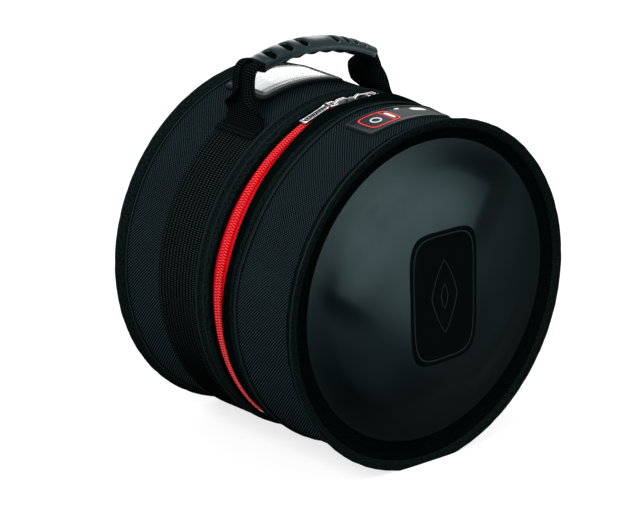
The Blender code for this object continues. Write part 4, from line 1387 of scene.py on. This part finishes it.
@dataclass
class Badge:
    """The rubber badge on the lid's wall: a raised border, a red frame and plain marks.

    Marks are rows of (x, y, half length, half width, squareness, band). Each is a thin
    plate, or a frame where it has a band.
    """

    case: Case
    y: float = -0.0717
    angle: float = 1.5
    half_length: float = 0.0462
    half_width: float = 0.0185
    corner: float = 0.0050
    height: float = 0.0018
    field_height: float = 0.0012
    print_height: float = 0.00035
    red: tuple[tuple[float, ...], ...] = (
        (-0.0200, 0.0014, 0.0162, 0.0130, 5.0, 0.0013),
        (-0.0118, 0.0014, 0.0006, 0.0121, 8.0, 0.0),
    )
    white: tuple[tuple[float, ...], ...] = (
        (-0.0236, 0.0014, 0.0052, 0.0052, 2.0, 0.0013),
        (-0.0080, 0.0014, 0.0015, 0.0074, 4.0, 0.0),
        (0.0085, 0.0115, 0.0028, 0.0014, 2.0, 0.0),
        (0.0290, 0.0070, 0.0085, 0.0042, 2.5, 0.0),
    )

    def mark(self, row: Sequence[float]) -> Skin:
        """Return the printed mark of one row."""
        x, y, half_x, half_y, squareness, band = row
        outer = oval(half_x, half_y, squareness, 64)
        inner = oval(half_x - band, half_y - band, squareness, 64) if band else 0 * outer
        low, high = self.field_height - self.print_height, self.field_height + self.print_height
        middle, share = (low + high) / 2, 0.15
        profile = [(0.0, low), (0.0, middle), (share, high), (1 - share, high)]
        profile += [(1.0, middle if band else high), (1.0, low), (0.0, low)]
        return plate(outer, inner, profile).shifted(x, y, 0.0)

    def blank(self) -> Skin:
        """Return the badge itself, which narrows to a spine along its middle."""
        outer = rounded(self.half_length, self.half_width, self.corner)
        spine = np.maximum(np.abs(outer[:, 0]) - self.half_width, 0.0) * np.sign(outer[:, 0])
        low, high = self.field_height, self.height
        profile = [
            (1.0, 0.0), (0.0, 0.0), (0.0, 0.0006), (0.03, high - 0.0004), (0.07, high),
            (0.13, high), (0.17, high - 0.0002), (0.20, low), (0.4, low), (0.7, low), (1.0, low),
        ]
        return plate(outer, np.stack([spine, 0 * spine], axis=1), profile)

    def build(self) -> None:
        """Make the badge and its marks."""
        red, white = (joined(map(self.mark, rows)) for rows in (self.red, self.white))
        for name, skin, finish, nodes in (
            ("lid_badge", self.blank(), RUBBER, ["badge"]),
            ("lid_badge_red", red, RED_PRINT, []),
            ("lid_badge_white", white, WHITE_PRINT, []),
        ):
            skin = self.case.wrapped(skin, self.angle, self.y, self.case.surface)
            make_piece(name, skin, finish, "lid", nodes, "rubber")


@dataclass
class Zip:
    """Both rows of the zip: tapes, coils, end stops and the cloth hinge below."""

    case: Case
    end_angle: float = 138.0
    tape_low: float = 0.1457
    tape_high: float = 0.1465
    tape_gap: float = 0.0005
    tape_reach: float = 0.0156
    coil_radius: float = 0.14785
    coil_rise: float = 0.00085
    coil_middle: float = 0.0019
    coil_swing: float = 0.0020
    pitch: float = 0.0025
    wire: float = 0.00056
    turn_steps: int = 10
    stop_length: float = 0.0036
    stop_width: float = 0.0072
    stop_height: float = 0.0021
    stop_rise: float = 0.0015
    drift: float = 0.0016
    hinge_lap_angle: float = 0.3
    hinge_reach: float = 0.0012
    hinge_outside: float = 0.1482
    hinge_inside: float = 0.1473
    hinge_slack: float = 0.0006
    hinge_waves: float = 0.0002
    hinge_bend: float = 0.1484

    def tape(self, end: End) -> Skin:
        """Return the tape of one half, which dips a little between coil and binding."""
        low, high = self.tape_low, self.tape_high
        corners = [
            (self.tape_gap, low), (self.tape_gap, high), (0.0045, high), (0.0075, high - 0.0002),
            (self.tape_reach, high), (self.tape_reach, low),
        ]
        outline = softened(corners, 0.0003, 2)
        outline[:, 0] = self.case.zip_y + end.value * outline[:, 0]
        path = self.case.around(-self.end_angle, self.end_angle)
        section = path.sections(outline)
        section[..., 0] -= self.drift * slackness(np.degrees(self.case.angles(path)))
        return path.carry(section, True)

    def coil(self, end: End) -> Skin:
        """Return the coil of one half: a wire that winds round and round along the tape.

        Along the zip the wire's middle line swings sideways with a cosine and up and
        down with a sine of the same phase, and the two halves are half a turn apart.
        """
        reach = math.radians(self.end_angle) - self.stop_length / self.coil_radius
        turns = round(2 * reach * self.coil_radius / self.pitch)
        steps = np.linspace(0.0, turns, turns * self.turn_steps + 1)
        phase = TURN * (steps + end.value / 4)
        angle = reach * (2 * steps / turns - 1)
        radius = self.coil_radius + self.coil_rise * np.sin(phase)
        swing = self.coil_middle + self.coil_swing * powered(np.cos(phase), 0.8)
        y = self.case.zip_y + end.value * swing
        y = y - self.drift * slackness(np.degrees(angle))
        up = rays(angle)
        places = up * radius[:, None] + np.stack([0 * y, y, 0 * y + self.case.axis], axis=1)
        ahead = np.gradient(places, axis=0)
        side = unit(np.cross(up, ahead))
        over = unit(np.cross(ahead, side))
        wire = Path(places, side, over, phase / TURN * self.pitch)
        return wire.carry(oval(self.wire, self.wire, 2.0, 5), True)

    def stop(self, hand: Hand) -> Skin:
        """Return the rounded metal clamp at one end of the zip."""
        half_turn = math.degrees(self.stop_length / 2 / self.coil_radius)
        angle = hand.value * (self.end_angle - half_turn)
        body = pillow(self.stop_length, self.stop_width, self.stop_height, 0.3)
        height = self.tape_high + self.stop_rise
        return self.case.wrapped(body, angle, self.case.zip_y, height)

    def hinge(self) -> Skin:
        """Return the strip of cloth that joins the halves below, slightly slack."""
        case, reach = self.case, self.hinge_reach
        low, high = case.edges[End.LID] - reach, case.edges[End.BASE] + reach
        y = np.linspace(low, high, 15)
        slack = self.hinge_slack * np.sin(math.pi * (y - low) / (high - low))
        outer = np.stack([y, self.hinge_outside + slack], axis=1)
        inner = np.stack([y[::-1], self.hinge_inside + slack[::-1]], axis=1)
        outline = np.vstack([outer, inner, outer[:1]])
        start = self.end_angle - self.hinge_lap_angle
        path = case.around(start, 360.0 - start, 120)
        section = path.sections(outline)
        waves = unevenness(case.angles(path), outline[:, 0], (40, 66, 90), 2)
        section[..., 1] += self.hinge_waves * waves
        return path.carry(section, True)

    def build(self) -> None:
        """Make the rows, the stops and the hinge."""
        for end in End:
            for part, skin, finish in (
                ("tape", self.tape(end), ZIP_TAPE), ("coil", self.coil(end), ZIP_COIL)
            ):
                node = f"zip_{part}_{end.body}"
                make_piece(f"{end.body}_zip_{part}", skin, finish, end.body, [node], "zip")
        for hand in Hand:
            name, node = f"zip_clamp_{hand.word}", f"zip_stop_{hand.word}"
            make_piece(name, self.stop(hand), BLACK_METAL, "base", [node], "metal")
        piece = make_piece("cloth_hinge", self.hinge(), NYLON, None, ["hinge_panel"])
        low = self.case.axis - self.hinge_bend
        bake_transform(piece)


@dataclass
class Slider:
    """One slider of the zip, with its link and its open pull tab."""

    case: Case
    hand: Hand
    angle: float
    length: float = 0.0180
    nose: float = 0.0024
    taper: float = 0.24
    width: float = 0.0104
    plate_height: float = 0.0012
    lip_width: float = 0.0008
    lip_height: float = 0.0020
    post_place: float = 0.0055
    post_length: float = 0.0050
    post_width: float = 0.0007
    top: float = 0.1505
    under: float = 0.1442
    bail_length: float = 0.0165
    bail_width: float = 0.0030
    bail_rise: float = 0.0026
    bail_bar: float = 0.0011
    bail_axis: float = 0.15155
    link_place: float = 0.0060
    link_length: float = 0.0083
    link_half_width: float = 0.0044
    link_wire: float = 0.0007
    tab_length: float = 0.0300
    tab_width: float = 0.0080
    tab_height: float = 0.0016
    tab_border: float = 0.0015
    tab_droop: float = 14.0
    barrel: float = 0.0016
    bore: float = 0.0010
    bars: int = 7
    bar_width: float = 0.0026

    def placed(self, skin: Skin) -> Skin:
        """Return a skin moved from the slider's own place to the zip."""
        return skin.moved(turn_matrix(self.angle), (0.0, self.case.zip_y, self.case.axis))

    def slider(self) -> Skin:
        """Return the slider: two rounded plates, wide at the nose, lips, post and bail."""
        out = self.hand.value
        plates = pillow(self.length + self.nose, self.width, self.plate_height, 0.28)
        lower, upper = (
            plates.shifted(-out * self.nose / 2, 0.0, z)
            for z in (self.under, self.top - self.plate_height / 2)
        )
        lips = pillow(0.62 * self.length, self.lip_width, self.lip_height, 0.3)
        for side in (-1, 1):
            lip_y = side * (self.width / 2 - self.lip_width / 2)
            upper = upper + lips.shifted(0.0, lip_y, self.top - self.plate_height)
        both = upper + lower
        share = 0.5 + out * both.points[:, 0] / self.length
        both.points[:, 1] *= 1.0 - self.taper * smooth_step(share)
        post = pillow(self.post_length, self.post_width, self.top - self.under, 0.2)
        middle = (self.top + self.under) / 2 - 0.0003
        post = post.shifted(-out * self.post_place, 0.0, middle)
        return (both + post).second() + self.bail()

    def bail(self) -> Skin:
        """Return the bail: a flat bar that arches over the slider."""
        half = self.bail_length / 2 - self.bail_bar / 2
        foot, low, high = half - 0.0006, self.top - 0.0004, self.top + self.bail_rise
        knots = [
            (-half, 0, low), (-foot, 0, low + 0.0014), (-half / 2, 0, high), (0, 0, high + 0.0001),
            (half / 2, 0, high), (foot, 0, low + 0.0014), (half, 0, low),
        ]
        arch = Path.through(knots, 36, (0.0, 1.0, 0.0))
        return arch.carry(oval(self.bail_width / 2, self.bail_bar / 2, 3.0, 20), True)

    def link(self) -> Skin:
        """Return the wire loop between bail and tab."""
        ring = oval(self.link_length / 2, self.link_half_width, 4.5, 64)
        x = ring[:, 0] + self.hand.value * (self.link_place + self.link_length / 2)
        places = np.stack([x, ring[:, 1], np.full(len(ring), self.bail_axis)], axis=1)
        return self.loop(places).carry(oval(self.link_wire, self.link_wire, 2.0, 12))

    @staticmethod
    def loop(places: Array) -> Path:
        """Return the path round a flat closed loop, whose section's side points outwards."""
        ahead = np.roll(places[:-1], -1, axis=0) - np.roll(places[:-1], 1, axis=0)
        ahead = unit(np.vstack([ahead, ahead[:1]]))
        up = np.broadcast_to([0.0, 0.0, 1.0], places.shape)
        return Path(places, np.cross(ahead, up), up, lengths(places))

    def tab(self) -> Skin:
        """Return the tab: a frame, a rolled end on the link and bars across its window."""
        out = self.hand.value
        half, border, h = self.tab_length / 2, self.tab_border, self.tab_height / 2
        middle = half + self.bore
        outer = oval(half, self.tab_width / 2, 9.0, 96)
        inner = oval(half - border - self.barrel / 2, self.tab_width / 2 - border, 9.0, 96)
        rounding = [(0.0, 0.6 * h), (0.2, h), (0.8, h), (1.0, 0.6 * h)]
        under = [(share, -height) for share, height in reversed(rounding)]
        frame = plate(outer, inner, [(0.0, 0.0), *rounding, *under, (0.0, 0.0)])
        field_edge = inner * np.array([1.01, 1.06])
        back = [(1.0, -0.5 * h), (0.0, -0.5 * h), (0.0, 0.1 * h), (1.0, 0.1 * h)]
        back = plate(field_edge, 0 * inner, back).second()
        skin = (frame + back).shifted(out * middle, 0.0, 0.0)
        window = self.tab_length - 2 * border - self.barrel
        bar = pillow(self.bar_width, self.tab_width - 2 * border + 0.0006, 1.5 * h, 0.3)
        for number in range(self.bars):
            x = out * (middle + 0.0004) + window * ((number + 0.5) / self.bars - 0.5)
            skin = skin + bar.shifted(x, 0.0, 0.0)
        shift = (out * (self.link_place + self.link_length), 0.0, self.bail_axis)
        return (skin + self.sleeve()).moved(turn_matrix(out * self.tab_droop), shift)

    def sleeve(self) -> Skin:
        """Return the rolled end of the tab, which turns on the link."""
        reach = self.link_half_width - self.link_wire - 0.0004
        edges = [(0.0, -reach), (0.0, reach), (1.0, reach), (1.0, -reach), (0.0, -reach)]
        outer, bore = (oval(radius, radius, 2.0, 24) for radius in (self.barrel, self.bore))
        skin = plate(outer, bore, edges)
        return replace(skin, points=skin.points[:, [0, 2, 1]])

    def build(self) -> None:
        """Make the slider, the link and the tab, each on its own body."""
        word = self.hand.word
        for part, node, skin in (
            ("slider", "slider", self.slider()),
            ("link", "pull_link", self.link()),
            ("tab", "pull_tab", self.tab()),
        ):
            make_piece(
                f"zip_{part}_{word}", self.placed(skin), METAL, f"{word}_{part}",
                [f"{node}_{word}"], second=BLACK_METAL,
            )


@dataclass
class Handle:
    """The belt round the base, the two straps that rise from it, and the moulded grip.

    Cuts are rows of (place along the grip, half width, depth). A strap's foot has rows
    of (degrees past the belt's end, lift as a share of the belt's thickness), and its
    knots are (x, z). Its curl is (share of its length at which it starts to open,
    shares at which its front and its rear edge are flat, depth of the cupping).
    """

    case: Case
    y: float = 0.0382
    belt_width: float = 0.0470
    belt_thickness: float = 0.0015
    leave_angle: float = 31.0
    grip_rise: float = 0.1870
    grip_shift: float = 0.0050
    bend: float = 0.1650
    grip_length: float = 0.1320
    grip_width: float = 0.0250
    grip_thickness: float = 0.0125
    inlay_depth: float = 0.0011
    end_width: float = 0.0220
    end_thickness: float = 0.0112
    cuts: tuple[tuple[float, float, float], ...] = (
        (-0.0510, 0.0038, 0.0044),
        (-0.0325, 0.0038, 0.0044),
        (-0.0160, 0.0038, 0.0042),
        (0.0190, 0.0034, 0.0034),
        (0.0315, 0.0032, 0.0034),
        (0.0415, 0.0030, 0.0034),
        (0.0520, 0.0030, 0.0034),
    )
    grip_power: float = 0.70
    flare: float = 0.0006
    fillet: float = 0.0012
    cut_slant: float = 0.12
    ridge: float = 0.0007
    rib: float = 0.0009
    parting: float = 0.0004
    wave: float = 0.0009
    wave_pitch: float = 0.0170
    wave_reach: float = 0.060
    lean: float = 6.0
    strap_thickness: float = 0.0014
    curl_length: float = 0.0070
    flap: float = 0.0060
    cup_end: float = 0.80
    squeeze: float = 0.78
    squeeze_end: float = 0.30
    thinning: float = 0.7
    thin_from: float = 0.94
    inside_radians: tuple[float, float] = (0.35, 0.38)
    foot: Pairs = ((0.0, 0.0), (0.9, 0.4), (1.8, 1.0), (2.7, 1.0), (3.8, 1.0))
    foot_seams: tuple[float, float] = (1.4, 3.0)
    bend_heights: tuple[float, float] = (0.2860, 0.3060)
    strap_knots: dict[Hand, Pairs] = field(default_factory=lambda: {
        Hand.LEFT: (
            (0.0635, 0.3345), (0.0685, 0.3336), (0.0720, 0.3280), (0.0728, 0.3175),
            (0.0716, 0.3050), (0.0714, 0.2930), (0.0740, 0.2845),
        ),
        Hand.RIGHT: ((0.0660, 0.3170), (0.0672, 0.3085), (0.0686, 0.2985), (0.0706, 0.2900)),
    })
    strap_curl: dict[Hand, tuple[float, float, float, float]] = field(default_factory=lambda: {
        Hand.LEFT: (0.38, 0.76, 0.76, 0.0000),
        Hand.RIGHT: (0.05, 0.80, 0.34, 0.0045),
    })

    def belt_path(self) -> Path:
        """Return the way round the case from one strap to the other."""
        return self.case.around(self.leave_angle, 360.0 - self.leave_angle)

    def belt(self) -> Skin:
        """Return the belt: flat webbing with rounded edges, from one strap to the other."""
        near, far = self.y - self.belt_width / 2, self.y + self.belt_width / 2
        low = self.case.surface
        high = low + self.belt_thickness
        corners = [(near, low), (near, high), (far, high), (far, low)]
        outline = filled(softened(corners, 0.0005, 3), 0.004)
        return self.belt_path().carry(outline[::-1], True)

    def belt_seams(self) -> Skin:
        """Return the stitches along both edges of the belt and across it at its ends."""
        case, stitch = self.case, Stitch()
        high = case.surface + self.belt_thickness
        over = high + self.strap_thickness + 0.0008
        inset = self.belt_width / 2 - 0.0028
        path = self.belt_path()
        skins = [stitch.row(path, self.y + side * inset, high) for side in (-1, 1)]
        across = np.linspace(-inset, inset, 15)
        line = np.stack([0 * across, self.y + across, 0 * across + case.axis], axis=1)
        for hand in Hand:
            for angle in (self.leave_angle + turn for turn in self.foot_seams):
                up = turn_matrix(hand.value * angle) @ np.array([0.0, 0.0, 1.0])
                ahead = np.broadcast_to(np.cross(up, [0.0, 1.0, 0.0]), line.shape)
                row = Path(up * over + line, ahead, np.broadcast_to(up, line.shape), across)
                skins.append(stitch.shape().repeated(row))
        return joined(skins)

    def station(self, angle: Array) -> tuple[Array, Array]:
        """Return places and upward directions on the grip's middle line.

        The line is an arc, tilted by the lean about the middle of the grip.

        Args:
            angle: The angle along the arc from its middle, in radians.
        """
        lean = math.radians(self.lean)
        middle = np.array([self.grip_shift, self.y, self.case.axis + self.grip_rise])
        centre = middle - self.bend * np.array([math.sin(lean), 0.0, math.cos(lean)])
        up = np.stack([np.sin(angle + lean), 0 * angle, np.cos(angle + lean)], axis=-1)
        return centre + self.bend * up, up

    def strap_line(self, hand: Hand) -> Path:
        """Return the middle line of one strap, from inside the grip down over the belt.

        It runs through knots between the grip's end and the place where it meets the
        case, and then along the case on top of the belt.
        """
        out = hand.value
        inside, _ = self.station(out * np.array(self.inside_radians))
        turn, lift = np.array(self.foot).T
        angles = np.radians(self.leave_angle + turn)
        height = self.case.surface + (self.belt_thickness + self.strap_thickness) / 2
        height = height + lift * self.belt_thickness
        x, z = out * height * np.sin(angles), self.case.axis + height * np.cos(angles)
        foot = np.stack([x, 0 * x + self.y, z], axis=1)
        knots = [(out * x, self.y, z) for x, z in self.strap_knots[hand]]
        return Path.through(np.vstack([inside, knots, foot]), 150, (0.0, 1.0, 0.0))

    def strap_section(self, path: Path, hand: Hand) -> Array:
        """Return the webbing's section down one strap.

        The section is a strip of constant width whose heading turns near both edges,
        so that they curl outwards: by half a turn at the grip, where the strip is a
        flat tube, and not at all at the foot. Places are the running sum of headings.
        In between, the strip is cupped towards the middle of the bag.
        """
        share = path.along / path.along[-1]
        first, front, rear, cup = self.strap_curl[hand]
        half = self.belt_width / 2
        strip = np.linspace(-half, half, 81)[None]
        last = np.where(strip < 0.0, front, rear)
        curl = 1.0 - smooth_step((share[:, None] - first) / (last - first))
        start = half - self.curl_length - self.flap
        heading = smooth_step((np.abs(strip) - start) / self.curl_length) * math.pi * curl
        step = strip[0, 1] - strip[0, 0]
        across = np.cumsum(np.cos(heading), axis=1) * step
        across -= across.mean(axis=1, keepdims=True)
        rise = np.cumsum(np.sin(heading) * np.sign(strip) * step, axis=1)
        rise -= rise[:, 40:41]
        cupped = np.sin(math.pi * np.clip(share / self.cup_end, 0.0, 1.0)) ** 2
        rise = rise - cup * cupped[:, None] * (strip / half) ** 2
        opened = smooth_step(share / self.squeeze_end)[:, None]
        squeeze = self.squeeze + (1.0 - self.squeeze) * opened
        middle = np.stack([across * squeeze, rise * squeeze], axis=2)
        slope = unit(np.gradient(middle, axis=1))
        ending = smooth_step((share - self.thin_from) / (1.0 - self.thin_from))
        thin = self.strap_thickness / 2 * (1.0 - self.thinning * ending)
        normal = np.stack([-slope[..., 1], slope[..., 0]], axis=2) * thin[:, None, None]
        low, high = middle - normal, middle + normal
        return np.concatenate([high, low[:, ::-1], high[:, :1]], axis=1)

    def strap(self, hand: Hand) -> Skin:
        """Return one strap."""
        path = self.strap_line(hand)
        section = self.strap_section(path, hand)
        return path.carry(section * np.array([1.0, float(hand.value)]), True)

    def grip(self) -> Skin:
        """Return the moulded grip.

        The section is a flattened superellipse, widest in the middle, with a flare at
        both ends. Across its top run deep oval cuts near both ends, below it shallow
        waves for the fingers, and a thin rib along each lower edge.
        """
        rows = np.linspace(-1.0, 1.0, 301)
        around = np.linspace(0.0, TURN, 97)
        half = self.grip_length / 2 / self.bend
        places, up = self.station(rows * half)
        side = np.broadcast_to([0.0, 1.0, 0.0], up.shape)
        path = Path(places, side, up, rows * self.grip_length / 2)
        swell = np.sqrt(np.clip(1.0 - np.abs(rows) ** 3, 0.0, 1.0))[:, None]
        flare = bell(np.abs(rows), 1.0, 0.045)[:, None]
        edge = np.clip((np.abs(rows) - 0.985) / 0.015, 0.0, 1.0)[:, None]
        less = self.fillet * (1.0 - np.sqrt(1.0 - edge**2))
        width = self.end_width + (self.grip_width - self.end_width) * swell
        height = self.end_thickness + (self.grip_thickness - self.end_thickness) * swell
        sine, cosine = np.sin(around)[None], np.cos(around)[None]
        across = powered(cosine, self.grip_power) * (width / 2 + self.flare * flare - less)
        rise = powered(sine, self.grip_power) * (height / 2 + self.flare * flare - less)
        x = (rows * self.grip_length / 2)[:, None]
        cuts = np.zeros_like(across)
        bars = np.zeros_like(across)
        for place, reach, depth in self.cuts:
            slanted = x - place - self.cut_slant * across
            share = (slanted / reach) ** 2 + ((across + 0.0030) / (0.31 * self.grip_width)) ** 4
            cuts = np.maximum(cuts, depth * np.exp(-(share**2)))
            for side in (-1, 1):
                bars = np.maximum(bars, bell(slanted, side * 2.2 * reach, 0.8 * reach))
        top = smooth_step((sine - 0.10) / 0.35)
        under = smooth_step((-sine - 0.25) / 0.4)
        fade = smooth_step((self.wave_reach - np.abs(x)) / 0.01)
        waves = self.wave * np.cos(TURN * x / self.wave_pitch) * under * fade
        rib, seam = self.rib * bell(sine, -0.30, 0.12), self.parting * bell(sine, 0.62, 0.06)
        across = across + np.sign(across) * (rib - seam)
        rise = rise + self.ridge * bars * top * (1.0 - np.abs(cosine)) - cuts * top + waves
        section = np.stack([across, rise], axis=2)
        # Faces deeper in the cuts than this depth take the darker finish: painted shade.
        painted_shade = np.pad(cuts * top - self.inlay_depth, ((1, 1), (0, 0)), mode="edge")
        return path.carry(section, True).toned(painted_shade.ravel())

    def build(self) -> None:
        """Make the belt and its seams, the straps and the grip."""
        make_piece("webbing_belt", self.belt(), WEBBING, "base", ["strap_band"])
        make_piece("belt_seams", self.belt_seams(), THREAD, "base", slot="webbing")
        for hand in Hand:
            nodes = [f"handle_foot_{hand.word}", "handle_strap"]
            piece = make_piece(
                f"handle_strap_{hand.word}", self.strap(hand), STRAP, None, nodes, "webbing"
            )
            low, high = self.bend_heights
            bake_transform(piece)
        make_piece("moulded_grip", self.grip(), GRIP, "handle", ["grip"], second=GRIP_CUT_SHADE)


@dataclass
class NameHolder:
    """The card holder on the base: a rubber frame, a clear window and a white card."""

    case: Case
    y: float = 0.07215
    half_length: float = 0.0457
    half_width: float = 0.02765
    height: float = 0.0030
    corner: float = 0.0045
    window_x: float = 0.0046
    window_y: float = 0.0762
    window_half_length: float = 0.0400
    window_half_width: float = 0.0215
    window_corner: float = 0.0030
    bead: float = 0.45
    groove: float = 0.3
    slot_low: float = 0.0008
    slot_high: float = 0.0017
    card_y: float = 0.0790
    card_half_length: float = 0.0412
    card_half_width: float = 0.0165
    card_turn: float = 0.8

    def sheet(self, low: float, high: float, turn: float, y: float, size: Sequence[float]) -> Skin:
        """Return a thin sheet bent round the case.

        Args:
            low: The height of its underside over the nylon.
            high: The height of its top.
            turn: The angle of its middle round the case, in degrees.
            y: The place of its middle along the axis.
            size: Its half length round the case and its half width.
        """
        half_length, half_width = size
        near, far = y - half_width, y + half_width
        corners = [(far, low), (far, high), (near, high), (near, low)]
        outline = filled(softened(corners, 0.0001, 1), 0.004) + np.array([0.0, self.case.surface])
        reach = math.degrees(half_length / self.case.surface)
        return self.case.around(turn - reach, turn + reach, 48).carry(outline, True)

    def frame(self) -> Skin:
        """Return the frame: a raised bead round the window, and a slot for the card.

        The slot is a groove inside the frame. On the right side its walls meet the
        outside, and the faces between them are left out, so that it is open there.
        """
        outer = rounded(self.half_length, self.half_width, self.corner)
        inner = rounded(self.window_half_length, self.window_half_width, self.window_corner)
        inner = inner + np.array([self.window_x, self.window_y - self.y])
        high, bead = self.height, self.bead
        profile = [
            (0.0, 0.0), (0.0, self.slot_low), (0.0, self.slot_high), (0.06, 0.0024),
            (0.16, high - 0.0003), (bead - 0.12, high - 0.0003), (bead - 0.04, high),
            (bead + 0.04, high), (bead + 0.12, high - 0.0003), (0.93, high - 0.0004),
            (1.0, high - 0.0012), (1.0, 0.0021), (0.9, self.slot_high),
            (self.groove, self.slot_high), (self.groove, self.slot_low), (0.9, self.slot_low),
            (1.0, 0.0), (0.0, 0.0),
        ]
        rows = np.array(profile)
        groove = np.flatnonzero(rows[:, 0] == self.groove)
        right = outer[:, 0] > self.half_length - MERGE
        skin = plate(outer, inner, profile)
        points = skin.points.reshape(len(rows), len(outer), 3)
        points[groove[:, None], np.flatnonzero(right), :2] = outer[right]
        cells = np.zeros((len(rows) - 1, len(outer) - 1), bool)
        cells[[1, groove[0]]] = right[:-1] & right[1:]
        keep = ~cells.ravel()
        # Painted highlight: the top of the bead takes a lighter copy of the rubber.
        painted_highlight_rows = (np.abs(rows[:, 0] - bead) < 0.05) & (rows[:, 1] == high)
        skin = skin.toned(np.repeat(painted_highlight_rows.astype(float), len(outer)))
        return replace(skin, faces=skin.faces[keep], uv=skin.uv[keep], tone=skin.tone[keep])

    def build(self) -> None:
        """Make the frame, its pale backing, the window and the card."""
        case = self.case
        frame = case.wrapped(self.frame(), 0.0, self.y, case.surface)
        make_piece("name_frame", frame, RUBBER, "base", ["id_frame"], second=RUBBER_PAINTED_HIGHLIGHT)
        turn = math.degrees(self.window_x / case.surface)
        opening = (self.window_half_length + 0.0006, self.window_half_width + 0.0006)
        card = (self.card_half_length, self.card_half_width)
        window_at, card_at = (turn, self.window_y, opening), (self.card_turn, self.card_y, card)
        for name, low, high, place, finish, body, nodes in (
            ("name_backing", 0.0001, 0.0006, window_at, BACKING, "base", []),
            ("name_window", 0.0019, 0.0024, window_at, WINDOW, "base", ["id_window"]),
            ("name_slip", 0.0010, 0.0014, card_at, CARD, "name_card", ["id_card"]),
        ):
            slot = "card" if finish is BACKING else None
            make_piece(name, self.sheet(low, high, *place), finish, body, nodes, slot)


@dataclass
class Studio:
    """A pale floor and backdrop, soft lamps, and the camera at the photograph's place."""

    case: Case
    azimuth: float = -40.87
    elevation: float = 19.43
    distance: float = 4.100
    target: tuple[float, float, float] = (-0.04134, -0.0237, 0.17431)
    lens: float = 268.4
    sensor: float = 36.0
    floor_size: float = 30.0

    def direction(self, azimuth: float, elevation: float) -> Array:
        """Return the way from the bag to a viewer at an azimuth and an elevation."""
        a, e = math.radians(azimuth), math.radians(elevation)
        return np.array([math.sin(a) * math.cos(e), -math.cos(a) * math.cos(e), math.sin(e)])

    def camera(self) -> None:
        """Make the camera, which looks at its target from its distance."""
        data = bpy.data.cameras.new("camera")
        data.lens = self.lens
        data.sensor_width = self.sensor
        data.clip_end = 100.0
        made = bpy.data.objects.new("camera", data)
        self.aim(made, self.direction(self.azimuth, self.elevation), self.distance)
        bpy.context.scene.camera = made

    def aim(self, made: bpy.types.Object, way: Array, distance: float) -> None:
        """Place an object along a way from the target, looking back at it."""
        centre = np.array(self.target)
        made.location = centre + way * distance
        made.rotation_mode = "QUATERNION"
        made.rotation_quaternion = Vector(-way).to_track_quat("-Z", "Y")
        bpy.context.scene.collection.objects.link(made)

    def lamp(
        self, name: str, place: Sequence[float], size: Sequence[float], power: float
    ) -> bpy.types.Object:
        """Make a soft lamp that shines at the bag.

        Args:
            name: The lamp's name.
            place: Its azimuth and elevation, and its distance from the target.
            size: Its width and height.
            power: Its power in watts.
        """
        azimuth, elevation, distance = place
        data = bpy.data.lights.new(name, "AREA")
        data.shape = "RECTANGLE"
        data.size, data.size_y = size
        data.energy = power
        made = bpy.data.objects.new(name, data)
        made.visible_camera = False
        self.aim(made, self.direction(azimuth, elevation), distance)
        return made

    def floor(self) -> None:
        """Make the floor: white where the camera or a reflection sees it, with shadows."""
        half = self.floor_size / 2
        corners = [(-half, -half, 0.0), (half, -half, 0.0), (half, half, 0.0), (-half, half, 0.0)]
        data = bpy.data.meshes.new("floor")
        data.from_pydata(corners, [], [(0, 1, 2, 3)])
        recipe = Recipe("floor")
        grain = recipe.noise(recipe.place(), 3.0, 2.0)
        tone = recipe.add("MapRange", {0: grain, 3: 0.38, 4: 0.42}).outputs[0]
        recipe.fill(recipe.shader, {
            "Base Color": recipe.add("CombineColor", {0: tone, 1: tone, 2: tone}).outputs[0],
            "Roughness": 0.9,
            "Emission Color": (1.0, 1.0, 1.0, 1.0),
            "Emission Strength": recipe.math("MULTIPLY", recipe.seen(), 0.78),
        })
        data.materials.append(recipe.material)
        made = bpy.data.objects.new("floor", data)
        bpy.context.scene.collection.objects.link(made)

    def world(self) -> None:
        """Make the world: white to the camera, and a softer grey as light."""
        world = bpy.data.worlds.new("studio")
        bpy.context.scene.world = world
        world.use_nodes = True
        nodes = Nodes(world.node_tree, "Background")
        level = nodes.add("MapRange", {0: nodes.seen(), 3: 0.40, 4: 1.0}).outputs[0]
        nodes.fill(nodes.shader, {"Strength": level, "Color": (1.0, 1.0, 1.0, 1.0)})

    def build(self) -> None:
        """Set up the whole studio."""
        bpy.context.scene.view_settings.view_transform = "Standard"
        self.camera()
        self.floor()
        self.world()
        self.lamp("overhead_lamp", (10.0, 76.0, 2.0), (1.2, 1.2), 15.0)
        self.lamp("key_lamp", (-78.0, 42.0, 2.2), (0.7, 0.7), 25.0)
        self.lamp("front_lamp", (40.0, 25.0, 2.4), (1.2, 1.2), 6.0)
        self.lamp("rear_lamp", (150.0, 14.0, 2.4), (1.2, 1.2), 16.0)
        card = self.lamp("gloss_lamp", (31.0, -8.0, 0.62), (0.20, 0.15), 8.0)
        card.visible_diffuse = False


def main() -> None:
    logging.basicConfig(level=logging.INFO, format="%(message)s")
    case = Case.measured()
    Studio(case).build()
    lid_panel = EndPanel(case, End.LID)
    for end in End:
        Half(case, end).build()
        Rim(case, end).build()
        MouthBinding(case, end).build()
    lid_panel.build()
    soft_waves = (
        (0.020, 0.030, 60.0, 0.060, 0.050, 0.040, 0.0008),
        (-0.045, -0.050, 20.0, 0.050, 0.030, 0.040, -0.0007),
    )
    base_panel = EndPanel(
        case, End.BASE, panel_radius=0.1440, panel_raise=0.0, ring_inner=0.1300, puff=0.0010,
        creases=soft_waves,
    )
    base_panel.build()
    Emblem(case, lid_panel).build()
    Badge(case).build()
    Zip(case).build()
    Slider(case, Hand.LEFT, -3.9).build()
    Slider(case, Hand.RIGHT, 4.9).build()
    Handle(case).build()
    NameHolder(case).build()


if __name__ == "__main__":
    main()
